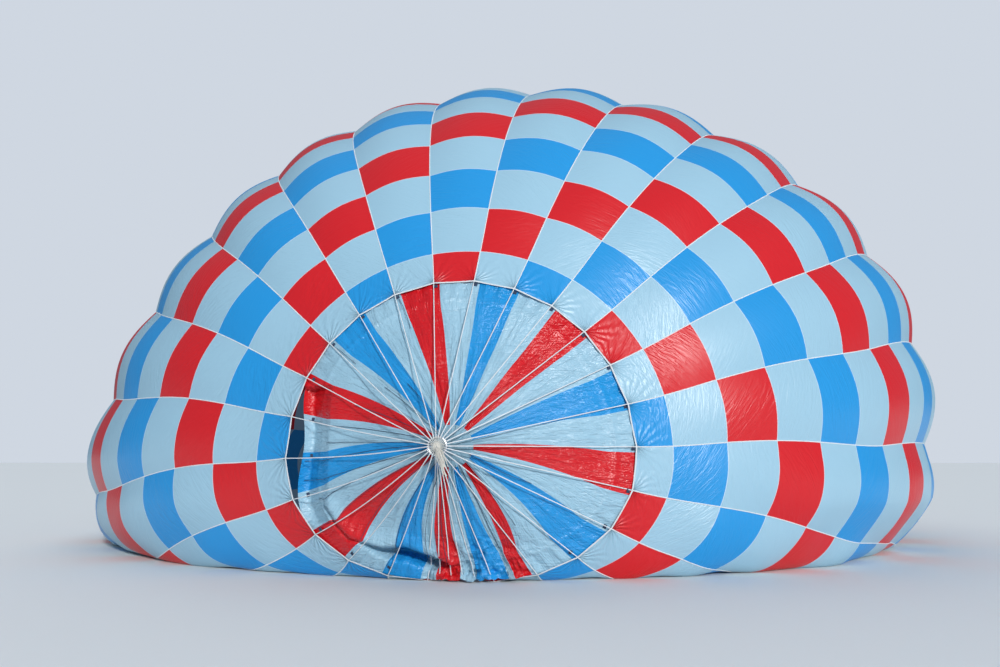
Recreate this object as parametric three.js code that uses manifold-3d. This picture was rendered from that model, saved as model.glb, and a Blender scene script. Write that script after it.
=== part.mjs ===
// A hot air balloon lying on its side, partly filled with cold air.
// Millimetres, +Z up. The crown with its vent faces -Y, the mouth and the basket lie at the +Y end.
// The envelope is 28 gores sewn edge to edge along load tapes. It rests flat on the ground and bulges
// over it, so a cross-section is a flat base, a quarter ellipse up to the widest point on each side and
// a quarter ellipse from there to the top.
import * as THREE from "three";
import { mergeVertices } from "three/addons/utils/BufferGeometryUtils.js";
import Module from "manifold-3d";

const wasm = await Module();
wasm.setup();

// Envelope
const GORES = 28;
const TAPE_LENGTH = 25000; // along a load tape, from the vent edge to the mouth
const WALL = 10;
const GAP = 0.3; // between pieces that touch
const SEAM_GAP = 0.6; // from a gore's long edge to the middle of its load tape
const STITCH = 25; // step of the walk along a guide
const GORE_COLUMNS = 4;
// How the envelope turns away from the vent's plane, in degrees, at distances along a load tape.
// 0 is straight outwards from the axis, 90 is straight back along it.
// "top" is for the highest line, "side" for the widest line, "girth" for the pattern the gores are cut to.
const TURNS = [
  { along: 0, top: 28, side: 25, girth: 0 },
  { along: 1000, top: 21, side: 17, girth: 0 },
  { along: 2500, top: 32, side: 30, girth: 8 },
  { along: 4500, top: 55, side: 48, girth: 48 },
  { along: 7000, top: 75, side: 65, girth: 65 },
  { along: 10000, top: 81, side: 95, girth: 88 },
  { along: 14000, top: 103, side: 111, girth: 110 },
  { along: 19000, top: 123, side: 119, girth: 125 },
  { along: 25000, top: 136, side: 123, girth: 136 },
];
const VENT_TOP = 3860; // height of the vent's top edge
const VENT_SIDE = 2280; // half of the vent's width
const VENT_RADIUS = 2440; // cut size, laid flat
const WAIST_HEIGHT = 1540; // height of the widest point above the ground
const TUCK = { far: 740, near: 1160, fade: 2000 }; // how far the base is narrower than the widest point
// The wind leans the envelope to +X and fills that side, more and more behind the vent.
const WIND = { lean: 0.14, bow: 350, over: 10000 };
const PATTERN_TURN = { front: 0.13, grows: 0.31 }; // in gores, clockwise from the front
const BULGE = { share: 0.13, over: 4000 }; // of a gore's width, grows from the vent edge
const MOUTH_FADE = 3000; // the gores' bulge ends over this length before the mouth
const LIFT_HEIGHT = 900; // gores lower than this are pressed flatter, down to the ground

// Crown and vent
const APEX = new THREE.Vector3(-95, -1000, 1660);
const CROWN_RING = { radius: 110, tube: 12 };
const COLLAR = { width: 30, thickness: 6 };
const CROWN_TAPE = { width: 20, thickness: 4, sewn: 8 };
const BAND = { width: 50, thickness: WALL };
const VENT = { overlap: 100, lapFrom: 900, below: 40, rings: 5, perGore: 2 };

// Basket end, along the axis from the mouth
const WIRE_SPAN = 2300;
const WIRE = { radius: 4, eye: 30, perCorner: 7, clear: 0.8 };
const EYES = { spacing: 12, depth: 28, height: 24 };
const KARABINER = { length: 120, width: 60, bar: 12 };
const FRAME = { width: 1060, height: 860, tube: 36, corner: 90 };
const GIMBAL = { width: 720, height: 440, bar: 24, pin: 12, corner: 60 };
const BURNER = { spacing: 300, radius: 130, length: 360, wall: 6, base: 34, neck: 120 };
const COIL = { turns: 8, tube: 28, first: 40, last: 310 };
const MANIFOLD = { width: 430, depth: 80, height: 90, middle: 20 };
const VALVE = { width: 70, depth: 110, height: 60, middle: 110 };
const LEVER = { width: 120, thickness: 24, middle: 175 };
const UPRIGHT = { radius: 34, length: 860 };
const BASKET = { width: 1500, height: 1150, depth: 1080, wall: 35, corner: 130, lift: 25 };
const FOOTHOLE = { width: 170, height: 100, fromFloor: 400 }; // in each of the two long walls
const RIM = { reach: 25, depth: 80, lap: 15 };
const EDGING = { reach: 25, depth: 110 };
const FLOOR = { thickness: 24 };
const RUNNER = { height: 50, width: 70, spacing: 400, inset: 60, joint: 1 };
const CYLINDER = { radius: 150, length: 880, neck: 30, collar: 75, shoulder: 90, foot: 20, strap: 12 };

// Guides: one walk along a load tape gives how far it has gone outwards and back

function turnAt(column, along) {
  const last = TURNS.length - 1;
  for (let i = 0; i < last; i += 1) {
    const a = TURNS[i];
    const b = TURNS[i + 1];
    if (along <= b.along) {
      const f = (along - a.along) / (b.along - a.along);
      return THREE.MathUtils.degToRad(a[column] + (b[column] - a[column]) * f);
    }
  }
  return THREE.MathUtils.degToRad(TURNS[last][column]);
}

function walk(column, out, back) {
  const places = [[out, back]];
  for (let along = 0; along < TAPE_LENGTH; along += STITCH) {
    const turn = turnAt(column, along + STITCH / 2);
    const [o, b] = places[places.length - 1];
    places.push([o + STITCH * Math.cos(turn), b + STITCH * Math.sin(turn)]);
  }
  return (along) => {
    const at = Math.min(Math.max(along / STITCH, 0), places.length - 1.001);
    const i = Math.floor(at);
    const f = at - i;
    return [0, 1].map((k) => places[i][k] * (1 - f) + places[i + 1][k] * f);
  };
}

const topLine = walk("top", VENT_TOP, 0);
const sideLine = walk("side", VENT_SIDE, 0);
const girthLine = walk("girth", VENT_RADIUS, 0);

// How much of the wind's effect has grown in
function blown(along) {
  return 1 - Math.exp(-along / WIND.over);
}

function goreWidth(along) {
  return (2 * Math.PI * girthLine(along)[0]) / GORES;
}

// Right half of the cross-section, from the top centre down to the middle of the base
const QUARTER_STEPS = 24;
const outlines = new Map();

function halfOutline(along) {
  if (outlines.has(along)) return outlines.get(along);
  const [height, topBack] = topLine(along);
  const [half, sideBack] = sideLine(along);
  const tuck = TUCK.far + TUCK.near * Math.exp(-along / TUCK.fade);
  const rise = height - WAIST_HEIGHT;
  const points = [];
  for (let i = 0; i <= QUARTER_STEPS; i += 1) {
    const q = (i / QUARTER_STEPS) * (Math.PI / 2);
    const back = topBack + (sideBack - topBack) * Math.sin(q) ** 2;
    points.push([half * Math.sin(q), back, WAIST_HEIGHT + rise * Math.cos(q)]);
  }
  for (let i = 1; i <= QUARTER_STEPS; i += 1) {
    const q = (i / QUARTER_STEPS) * (Math.PI / 2);
    points.push([half - tuck * (1 - Math.cos(q)), sideBack, WAIST_HEIGHT * (1 - Math.sin(q))]);
  }
  points.push([0, sideBack, 0]);
  const reach = [0];
  for (let i = 1; i < points.length; i += 1) {
    const step = Math.hypot(points[i][0] - points[i - 1][0], points[i][2] - points[i - 1][2]);
    reach.push(reach[i - 1] + step);
  }
  const outline = { points, reach, rise, ground: reach[reach.length - 2], end: reach[reach.length - 1] };
  outlines.set(along, outline);
  return outline;
}

// A point of the smooth envelope. number counts gores clockwise from the top centre, seen from the front.
// Down to the ground the gores keep their cut width, and those on the ground share what is left.
function smoothPoint(number, along) {
  let n = number - PATTERN_TURN.front - PATTERN_TURN.grows * blown(along);
  if (n > GORES / 2) n -= GORES;
  if (n < -GORES / 2) n += GORES;
  const outline = halfOutline(along);
  const width = goreWidth(along);
  const onGround = outline.ground / width;
  let reach = width * Math.abs(n);
  if (Math.abs(n) > onGround) {
    const share = (Math.abs(n) - onGround) / (GORES / 2 - onGround);
    reach = outline.ground + (outline.end - outline.ground) * share;
  }
  let i = outline.reach.findIndex((r) => r >= reach);
  i = i === -1 ? outline.reach.length - 1 : Math.max(i, 1);
  const f = (reach - outline.reach[i - 1]) / (outline.reach[i] - outline.reach[i - 1]);
  const [x, y, z] = [0, 1, 2].map((k) => outline.points[i - 1][k] * (1 - f) + outline.points[i][k] * f);
  const up = Math.min(Math.max((z - WAIST_HEIGHT) / outline.rise, 0), 1);
  const shift = WIND.lean * (z - WAIST_HEIGHT) + WIND.bow * Math.sin(Math.PI * up);
  return new THREE.Vector3(x * Math.sign(n) + blown(along) * shift, y, z);
}

function outwardNormal(number, along) {
  const across = smoothPoint(number + 0.1, along).sub(smoothPoint(number - 0.1, along));
  const back = smoothPoint(number, along + 100).sub(smoothPoint(number, Math.max(along - 100, 0)));
  return across.cross(back).normalize();
}

// Where a share of a gore's width lies on the count of gores, 0 at one tape and 1 at the next
function acrossGore(gore, share, along) {
  const inset = SEAM_GAP / goreWidth(along);
  return gore - 0.5 + inset + share * (1 - 2 * inset);
}

// A point of a gore's outer or inner face
function gorePoint(gore, share, along, depth) {
  const at = acrossGore(gore, share, along);
  const normal = outwardNormal(at, along);
  const grown = 1 - Math.exp(-along / BULGE.over);
  const part = BULGE.share * grown;
  const mouthFade = Math.min(1, (TAPE_LENGTH - along) / MOUTH_FADE);
  const swell = part * mouthFade * goreWidth(along) * Math.sin(Math.PI * share);
  const point = smoothPoint(at, along);
  const lift = Math.min(1, Math.max(0, point.z / LIFT_HEIGHT));
  point.addScaledVector(normal, swell * lift);
  point.z = Math.max(point.z, 0);
  return point.addScaledVector(normal, -depth);
}

// Closed sheets: a grid of points on the outer face and one on the inner face, joined round the edge

function sheetGeometry(columns, rows, outer, inner) {
  const positions = [];
  const faces = [outer, inner];
  for (const face of faces) {
    for (let j = 0; j <= rows; j += 1) {
      for (let i = 0; i <= columns; i += 1) positions.push(...face(i, j).toArray());
    }
  }
  const side = (columns + 1) * (rows + 1);
  const at = (face, i, j) => face * side + j * (columns + 1) + i;
  const index = [];
  const quad = (a, b, c, d) => index.push(a, b, c, a, c, d);
  for (let j = 0; j < rows; j += 1) {
    for (let i = 0; i < columns; i += 1) {
      quad(at(0, i, j), at(0, i, j + 1), at(0, i + 1, j + 1), at(0, i + 1, j));
      quad(at(1, i, j), at(1, i + 1, j), at(1, i + 1, j + 1), at(1, i, j + 1));
    }
    quad(at(0, 0, j), at(1, 0, j), at(1, 0, j + 1), at(0, 0, j + 1));
    quad(at(0, columns, j), at(0, columns, j + 1), at(1, columns, j + 1), at(1, columns, j));
  }
  for (let i = 0; i < columns; i += 1) {
    quad(at(0, i, 0), at(0, i + 1, 0), at(1, i + 1, 0), at(1, i, 0));
    quad(at(0, i, rows), at(1, i, rows), at(1, i + 1, rows), at(0, i + 1, rows));
  }
  return outwards(indexed(positions, index));
}

// Closed loops: a section of a few corners carried round, the last joined to the first
function loopGeometry(count, corners, point) {
  const positions = [];
  const index = [];
  for (let j = 0; j < count; j += 1) {
    for (let i = 0; i < corners; i += 1) positions.push(...point(i, j).toArray());
  }
  for (let j = 0; j < count; j += 1) {
    const next = (j + 1) % count;
    for (let i = 0; i < corners; i += 1) {
      const k = (i + 1) % corners;
      const a = j * corners + i;
      const b = j * corners + k;
      const c = next * corners + k;
      const d = next * corners + i;
      index.push(a, b, d, b, c, d);
    }
  }
  return outwards(indexed(positions, index));
}

function indexed(positions, index) {
  const geometry = new THREE.BufferGeometry();
  geometry.setAttribute("position", new THREE.Float32BufferAttribute(positions, 3));
  geometry.setIndex(index);
  return geometry;
}

// Turns every face round where the closed mesh is inside out
function outwards(geometry) {
  const p = geometry.getAttribute("position");
  const index = geometry.getIndex();
  const [a, b, c] = [new THREE.Vector3(), new THREE.Vector3(), new THREE.Vector3()];
  let volume = 0;
  for (let i = 0; i < index.count; i += 3) {
    a.fromBufferAttribute(p, index.getX(i));
    b.fromBufferAttribute(p, index.getX(i + 1));
    c.fromBufferAttribute(p, index.getX(i + 2));
    volume += a.dot(b.cross(c));
  }
  if (volume < 0) {
    for (let i = 0; i < index.count; i += 3) {
      const first = index.getX(i);
      index.setX(i, index.getX(i + 1));
      index.setX(i + 1, first);
    }
  }
  return geometry;
}

// Joins and cuts

function solidOf(geometry) {
  const bare = geometry.clone();
  bare.deleteAttribute("normal");
  if (bare.getAttribute("uv")) bare.deleteAttribute("uv");
  const merged = mergeVertices(bare, 0.001);
  return new wasm.Manifold(new wasm.Mesh({
    numProp: 3,
    vertProperties: new Float32Array(merged.getAttribute("position").array),
    triVerts: new Uint32Array(merged.getIndex().array),
  }));
}

function geometryOf(solid) {
  const mesh = solid.getMesh();
  return indexed(Array.from(mesh.vertProperties), Array.from(mesh.triVerts));
}

function joined(geometries) {
  return geometryOf(geometries.map(solidOf).reduce((sum, solid) => sum.add(solid)));
}

function cut(geometry, tool) {
  return geometryOf(solidOf(geometry).subtract(solidOf(tool)));
}

// Plain shapes, placed

function boxAt(x, y, z, sx, sy, sz) {
  return new THREE.BoxGeometry(sx, sy, sz).translate(x, y, z);
}

function rodBetween(from, to, radius, sides = 8, radiusTo = radius) {
  const along = to.clone().sub(from);
  const rod = new THREE.CylinderGeometry(radiusTo, radius, along.length(), sides);
  rod.translate(0, along.length() / 2, 0);
  const turn = new THREE.Quaternion().setFromUnitVectors(new THREE.Vector3(0, 1, 0), along.normalize());
  return rod.applyQuaternion(turn).translate(from.x, from.y, from.z);
}

// A rod of a few sides through the points given, its ends cut square to its ends' directions
function bentRod(points, radius, sides) {
  const last = points.length - 1;
  const ways = points.map((p, i) => {
    const before = points[Math.max(i - 1, 0)];
    const after = points[Math.min(i + 1, last)];
    return after.clone().sub(before).normalize();
  });
  const side = new THREE.Vector3(0, 0, 1).cross(ways[0]).normalize();
  const positions = [];
  points.forEach((p, i) => {
    const across = side.clone().addScaledVector(ways[i], -side.dot(ways[i])).normalize();
    const up = ways[i].clone().cross(across);
    for (let k = 0; k < sides; k += 1) {
      const q = (k / sides) * 2 * Math.PI;
      const corner = p.clone().addScaledVector(across, radius * Math.cos(q));
      positions.push(...corner.addScaledVector(up, radius * Math.sin(q)).toArray());
    }
  });
  const index = [];
  for (let i = 0; i < last; i += 1) {
    for (let k = 0; k < sides; k += 1) {
      const [a, b] = [i * sides + k, i * sides + ((k + 1) % sides)];
      index.push(a, b, b + sides, a, b + sides, a + sides);
    }
  }
  for (let k = 1; k < sides - 1; k += 1) {
    index.push(0, k + 1, k, last * sides, last * sides + k, last * sides + k + 1);
  }
  return outwards(indexed(positions, index));
}

function roundedRectangle(width, height, radius, Kind = THREE.Shape) {
  const [w, h] = [width / 2, height / 2];
  const shape = new Kind();
  shape.moveTo(w, -h + radius);
  shape.lineTo(w, h - radius);
  shape.absarc(w - radius, h - radius, radius, 0, Math.PI / 2);
  shape.lineTo(-w + radius, h);
  shape.absarc(-w + radius, h - radius, radius, Math.PI / 2, Math.PI);
  shape.lineTo(-w, -h + radius);
  shape.absarc(-w + radius, -h + radius, radius, Math.PI, 1.5 * Math.PI);
  shape.lineTo(w - radius, -h);
  shape.absarc(w - radius, -h + radius, radius, 1.5 * Math.PI, 2 * Math.PI);
  return shape;
}

// A frame or plate drawn in the X-Z plane and extruded backwards from the place given
function uprightPlate(shape, depth, x, y, z, curveSegments = 4) {
  const plate = new THREE.ExtrudeGeometry(shape, { depth, bevelEnabled: false, curveSegments });
  return plate.rotateX(Math.PI / 2).translate(x, y + depth, z);
}

function ringPlate(outer, inner, depth, x, y, z) {
  const shape = roundedRectangle(outer.width, outer.height, outer.corner);
  shape.holes.push(roundedRectangle(inner.width, inner.height, inner.corner, THREE.Path));
  return uprightPlate(shape, depth, x, y, z);
}

// Materials

const material = (color, roughness, metalness = 0) =>
  new THREE.MeshStandardMaterial({ color, roughness, metalness, side: THREE.FrontSide });
const LIGHT_BLUE = 0x8cc2e0;
const MID_BLUE = 0x2b87dd;
const RED = 0xd81f26;
const TAPE_WHITE = 0xe8ebee;
const STEEL = 0xb9bdc1;
const WICKER = 0xa9713a;
const LEATHER = 0x4a2f20;
const BLACK = 0x22252a;
const ALLOY = 0xc9ccd0;

const balloon = new THREE.Group();

function addPiece(name, geometry, finish) {
  const mesh = new THREE.Mesh(geometry, finish);
  mesh.name = name;
  balloon.add(mesh);
  return mesh;
}

// Gores. Each shows the colour of its first panel beside the vent.
const GORE_STATIONS = [0, 500, 1300, 2100, 3000, 4000, 5000, 6000, 7200, 8400, 9700,
  11200, 13000, 15000, 17000, 19500, 22000, TAPE_LENGTH];

const PANEL_COLOURS = [RED, LIGHT_BLUE, MID_BLUE, LIGHT_BLUE];

function buildGores() {
  for (let gore = 0; gore < GORES; gore += 1) {
    const geometry = sheetGeometry(
      GORE_COLUMNS,
      GORE_STATIONS.length - 1,
      (i, j) => gorePoint(gore, i / GORE_COLUMNS, GORE_STATIONS[j], 0),
      (i, j) => gorePoint(gore, i / GORE_COLUMNS, GORE_STATIONS[j], WALL),
    );
    const colour = PANEL_COLOURS[(GORES - gore) % PANEL_COLOURS.length];
    addPiece(`gore_${String(gore + 1).padStart(2, "0")}`, geometry, material(colour, 0.55));
  }
}

// The direction square to an open edge of the envelope, in its surface and away from the fabric
function leaving(number, along) {
  const across = smoothPoint(number + 0.1, along).sub(smoothPoint(number - 0.1, along));
  const square = across.cross(outwardNormal(number, along)).normalize();
  return along > 0 ? square.negate() : square;
}

// A band sewn round an open edge of the envelope: four corners, just clear of the gores' ends
function bandGeometry(along) {
  const perGore = GORE_COLUMNS + 1;
  return loopGeometry(GORES * perGore, 4, (i, j) => {
    const number = acrossGore(Math.floor(j / perGore), (j % perGore) / GORE_COLUMNS, along);
    const out = i === 0 || i === 3 ? SEAM_GAP : BAND.width;
    const depth = i < 2 ? 0 : BAND.thickness;
    const point = smoothPoint(number, along).addScaledVector(leaving(number, along), out);
    point.z = Math.max(point.z, 0);
    return point.addScaledVector(outwardNormal(number, along), -depth);
  });
}

// Crown: a metal ring, and a web of a collar of folded tape round it, 28 tapes and the vent's edge band
function buildCrown() {
  const ring = new THREE.TorusGeometry(CROWN_RING.radius, CROWN_RING.tube, 8, 28);
  ring.rotateX(Math.PI / 2).translate(APEX.x, APEX.y, APEX.z);
  addPiece("crown_ring", ring, material(ALLOY, 0.3, 0.9));

  const inside = CROWN_RING.radius + CROWN_RING.tube + GAP;
  const outside = inside + COLLAR.width;
  const half = COLLAR.thickness / 2;
  const profile = [[inside, -half], [outside, -half], [outside, half], [inside, half], [inside, -half]];
  const collar = new THREE.LatheGeometry(profile.map(([r, y]) => new THREE.Vector2(r, y)), 28);
  const web = [collar.translate(APEX.x, APEX.y, APEX.z), bandGeometry(0)];
  for (let gore = 0; gore < GORES; gore += 1) web.push(crownTape(gore, (inside + outside) / 2));
  addPiece("crown_web", joined(web), material(TAPE_WHITE, 0.7));
}

function crownTape(gore, start) {
  const reach = BAND.width - CROWN_TAPE.sewn;
  const edge = smoothPoint(gore + 0.5, 0).addScaledVector(leaving(gore + 0.5, 0), reach);
  const way = edge.clone().sub(APEX).normalize();
  const inPlane = new THREE.Vector3(way.x, 0, way.z).normalize();
  const from = APEX.clone().addScaledVector(inPlane, start);
  const normal = outwardNormal(gore + 0.5, 0);
  const to = edge.clone().addScaledVector(normal, -BAND.thickness / 2);
  const along = to.clone().sub(from).normalize();
  const across = along.clone().cross(normal).normalize();
  const up = across.clone().cross(along).normalize();
  const corners = [[-1, -1], [1, -1], [1, 1], [-1, 1]];
  const positions = [];
  for (const end of [from, to]) {
    for (const [a, b] of corners) {
      const p = end.clone().addScaledVector(across, (a * CROWN_TAPE.width) / 2);
      positions.push(...p.addScaledVector(up, (b * CROWN_TAPE.thickness) / 2).toArray());
    }
  }
  const index = [0, 1, 2, 0, 2, 3, 4, 6, 5, 4, 7, 6];
  for (let i = 0; i < 4; i += 1) {
    const k = (i + 1) % 4;
    index.push(i, i + 4, k + 4, i, k + 4, k);
  }
  return outwards(indexed(positions, index));
}

// Vent panel: a flat middle on the back of the crown ring, a shallow cone behind the crown tapes
// from there, and an edge lapped behind the first panels
function ventPoint(j, ring, depth) {
  const number = j / VENT.perGore;
  const lap = VENT.overlap * Math.min(1, smoothPoint(number, 0).z / VENT.lapFrom);
  const edge = smoothPoint(number, lap);
  edge.addScaledVector(outwardNormal(number, lap), -VENT.below);
  edge.z = Math.max(edge.z, VENT.below);
  const middle = APEX.clone();
  middle.y += CROWN_RING.tube + GAP;
  const outwards = new THREE.Vector3(edge.x - middle.x, 0, edge.z - middle.z).normalize();
  const hub = middle.clone().addScaledVector(outwards, CROWN_RING.radius + COLLAR.width);
  const point = ring === 0 ? middle : hub.lerp(edge, (ring - 1) / (VENT.rings - 1));
  point.y += depth;
  return point;
}

function buildVent() {
  const count = GORES * VENT.perGore;
  const positions = [];
  const index = [];
  for (const depth of [0, WALL]) {
    positions.push(...ventPoint(0, 0, depth).toArray());
    for (let ring = 1; ring <= VENT.rings; ring += 1) {
      for (let j = 0; j < count; j += 1) positions.push(...ventPoint(j, ring, depth).toArray());
    }
  }
  const face = 1 + VENT.rings * count;
  const at = (side, ring, j) => side * face + (ring === 0 ? 0 : 1 + (ring - 1) * count + (j % count));
  for (let j = 0; j < count; j += 1) {
    for (let ring = 0; ring < VENT.rings; ring += 1) {
      const corners = [[ring, j], [ring, j + 1], [ring + 1, j + 1], [ring + 1, j]];
      const [a, b, c, d] = corners.map(([r, k]) => at(0, r, k));
      const [e, f, g, h] = corners.map(([r, k]) => at(1, r, k));
      if (ring > 0) index.push(a, b, c, e, g, f);
      index.push(a, c, d, e, h, g);
    }
    const [a, b] = [at(0, VENT.rings, j), at(0, VENT.rings, j + 1)];
    const [c, d] = [at(1, VENT.rings, j + 1), at(1, VENT.rings, j)];
    index.push(a, b, c, a, c, d);
  }
  addPiece("vent_panel", outwards(indexed(positions, index)), material(LIGHT_BLUE, 0.5));
}

function buildMouth() {
  addPiece("mouth_band", bandGeometry(TAPE_LENGTH), material(BLACK, 0.7));
}

// Basket end. The basket lies on its long side, its open top towards the mouth.
const mouthCentre = new THREE.Vector3();
for (let gore = 0; gore < GORES; gore += 1) {
  mouthCentre.addScaledVector(smoothPoint(gore, TAPE_LENGTH), 1 / GORES);
}
const AXIS_X = mouthCentre.x;
const AXIS_Z = BASKET.height / 2 + BASKET.lift;
const FRAME_Y = mouthCentre.y + WIRE_SPAN;
const RIM_Y = FRAME_Y + FRAME.tube + UPRIGHT.length;
const FRAME_CORNERS = [[-1, 1], [1, 1], [1, -1], [-1, -1]];
const CORNER_NAMES = ["upper_left", "upper_right", "lower_right", "lower_left"];

function frameCorner([sx, sz], inset) {
  return new THREE.Vector3(
    AXIS_X + sx * (FRAME.width / 2 - inset),
    FRAME_Y,
    AXIS_Z + sz * (FRAME.height / 2 - inset),
  );
}

function buildFrame() {
  const frame = ringPlate(
    { width: FRAME.width, height: FRAME.height, corner: FRAME.corner },
    {
      width: FRAME.width - 2 * FRAME.tube,
      height: FRAME.height - 2 * FRAME.tube,
      corner: FRAME.corner - FRAME.tube,
    },
    FRAME.tube, AXIS_X, FRAME_Y, AXIS_Z,
  );
  addPiece("load_frame", frame, material(STEEL, 0.35, 0.9));
}

// A karabiner is a flat loop in front of each frame corner
function karabinerEnd(corner) {
  const at = frameCorner(corner, FRAME.tube / 2 + KARABINER.bar);
  at.y -= GAP;
  return at;
}

function buildKarabiners() {
  FRAME_CORNERS.forEach((corner, i) => {
    const at = karabinerEnd(corner);
    const shape = roundedRectangle(KARABINER.width, KARABINER.length, KARABINER.width / 2 - 1);
    const hole = [KARABINER.width - 2 * KARABINER.bar, KARABINER.length - 2 * KARABINER.bar];
    shape.holes.push(roundedRectangle(hole[0], hole[1], hole[0] / 2 - 1, THREE.Path));
    const loop = new THREE.ExtrudeGeometry(shape, {
      depth: KARABINER.bar, bevelEnabled: false, curveSegments: 3,
    });
    loop.translate(at.x, at.y - KARABINER.length / 2, at.z - KARABINER.bar / 2);
    addPiece(`karabiner_${CORNER_NAMES[i]}`, loop, material(ALLOY, 0.3, 0.9));
  });
}

// Flying wires run from the mouth band's tapes to a row of eyes on each karabiner
function buildWires() {
  const firstTape = [-6.5, 0.5, 7.5, -13.5]; // the same order as the frame's corners
  FRAME_CORNERS.forEach((corner, i) => {
    const middle = karabinerEnd(corner);
    middle.y -= KARABINER.length + EYES.depth / 2 + GAP;
    const width = (WIRE.perCorner + 1) * EYES.spacing;
    const wires = [boxAt(middle.x, middle.y, middle.z, width, EYES.depth, EYES.height)];
    for (let k = 0; k < WIRE.perCorner; k += 1) {
      const number = firstTape[i] + k;
      const way = leaving(number, TAPE_LENGTH);
      const edge = smoothPoint(number, TAPE_LENGTH).addScaledVector(way, BAND.width + WIRE.clear);
      edge.addScaledVector(outwardNormal(number, TAPE_LENGTH), -BAND.thickness / 2);
      const turn = edge.clone().addScaledVector(way, WIRE.eye);
      const end = middle.clone();
      end.x += Math.sign(corner[1]) * (k - (WIRE.perCorner - 1) / 2) * EYES.spacing;
      wires.push(bentRod([edge, turn, end], WIRE.radius, 5));
    }
    addPiece(`flying_wires_${CORNER_NAMES[i]}`, joined(wires), material(STEEL, 0.4, 0.8));
  });
}

function buildUprights() {
  FRAME_CORNERS.forEach((corner, i) => {
    const [sx, sz] = corner;
    const from = frameCorner(corner, FRAME.tube / 2 + UPRIGHT.radius / 2);
    from.y += FRAME.tube + GAP;
    const reach = BASKET.wall / 2;
    const to = new THREE.Vector3(
      AXIS_X + sx * (BASKET.width / 2 - BASKET.corner / 2),
      RIM_Y - GAP,
      AXIS_Z + sz * (BASKET.height / 2 - BASKET.corner / 2 - reach),
    );
    addPiece(`upright_${CORNER_NAMES[i]}`, uprightCover(from, to), material(LEATHER, 0.7));
  });
}

// A padded cover whose two ends are cut square to the axis of the basket, so they seat flat
function uprightCover(from, to) {
  const sides = 12;
  const positions = [];
  for (const end of [from, to]) {
    for (let i = 0; i < sides; i += 1) {
      const q = (i / sides) * 2 * Math.PI;
      positions.push(end.x + UPRIGHT.radius * Math.cos(q), end.y, end.z + UPRIGHT.radius * Math.sin(q));
    }
  }
  positions.push(...from.toArray(), ...to.toArray());
  const index = [];
  for (let i = 0; i < sides; i += 1) {
    const k = (i + 1) % sides;
    index.push(i, k, k + sides, i, k + sides, i + sides);
    index.push(2 * sides, k, i, 2 * sides + 1, i + sides, k + sides);
  }
  return outwards(indexed(positions, index));
}

// Gimbal ring on two pins along X, burners on two pins along Z
const PIVOT_Y = FRAME_Y + FRAME.tube / 2;

function buildGimbal() {
  const ring = ringPlate(
    { width: GIMBAL.width, height: GIMBAL.height, corner: GIMBAL.corner },
    {
      width: GIMBAL.width - 2 * GIMBAL.bar,
      height: GIMBAL.height - 2 * GIMBAL.bar,
      corner: GIMBAL.corner - GIMBAL.bar,
    },
    GIMBAL.bar, AXIS_X, PIVOT_Y - GIMBAL.bar / 2, AXIS_Z,
  );
  const inside = FRAME.width / 2 - FRAME.tube - GAP;
  const pins = [-1, 1].map((side) => rodBetween(
    new THREE.Vector3(AXIS_X + side * (GIMBAL.width / 2 - GIMBAL.bar / 2), PIVOT_Y, AXIS_Z),
    new THREE.Vector3(AXIS_X + side * inside, PIVOT_Y, AXIS_Z),
    GIMBAL.pin, 12,
  ));
  addPiece("gimbal_ring", joined([ring, ...pins]), material(STEEL, 0.35, 0.9));
}

function buildBurner() {
  const blockHalf = GIMBAL.height / 2 - GIMBAL.bar - GAP;
  const manifold = [
    boxAt(AXIS_X, PIVOT_Y + MANIFOLD.middle, AXIS_Z, MANIFOLD.width, MANIFOLD.depth, MANIFOLD.height),
    rodBetween(
      new THREE.Vector3(AXIS_X, PIVOT_Y, AXIS_Z - blockHalf),
      new THREE.Vector3(AXIS_X, PIVOT_Y, AXIS_Z + blockHalf),
      GIMBAL.pin, 12,
    ),
  ];
  for (const side of [-1, 1]) {
    const x = AXIS_X + (side * BURNER.spacing) / 2;
    manifold.push(boxAt(x, PIVOT_Y + VALVE.middle, AXIS_Z, VALVE.width, VALVE.depth, VALVE.height));
    manifold.push(boxAt(x, PIVOT_Y + LEVER.middle, AXIS_Z, LEVER.width, LEVER.thickness, LEVER.thickness));
  }
  addPiece("burner_manifold", joined(manifold), material(BLACK, 0.4, 0.6));
  for (const side of [-1, 1]) {
    const x = AXIS_X + (side * BURNER.spacing) / 2;
    addPiece(`burner_${side < 0 ? "left" : "right"}`, burnerUnit(x), material(ALLOY, 0.25, 1));
  }
}

// A burner unit is an open can lined by its coil, closed by a base plate at the manifold
function burnerUnit(x) {
  const { radius, length, wall, base, neck } = BURNER;
  const inside = radius - wall;
  const profile = [[0, 0], [radius, 0], [radius, length], [inside, length], [inside, COIL.last]];
  const pitch = (COIL.last - COIL.first) / COIL.turns;
  for (let turn = 0; turn < COIL.turns; turn += 1) {
    const y = COIL.last - (turn + 0.5) * pitch;
    profile.push([inside - COIL.tube, y]);
    profile.push([inside - COIL.tube / 2, y - pitch / 2]);
  }
  profile.push([base, COIL.first - COIL.tube / 2], [base, neck], [0, neck]);
  const can = new THREE.LatheGeometry(profile.map(([r, y]) => new THREE.Vector2(r, y)), 20);
  return can.rotateX(Math.PI).translate(x, PIVOT_Y - MANIFOLD.middle - GAP, AXIS_Z);
}

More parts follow.
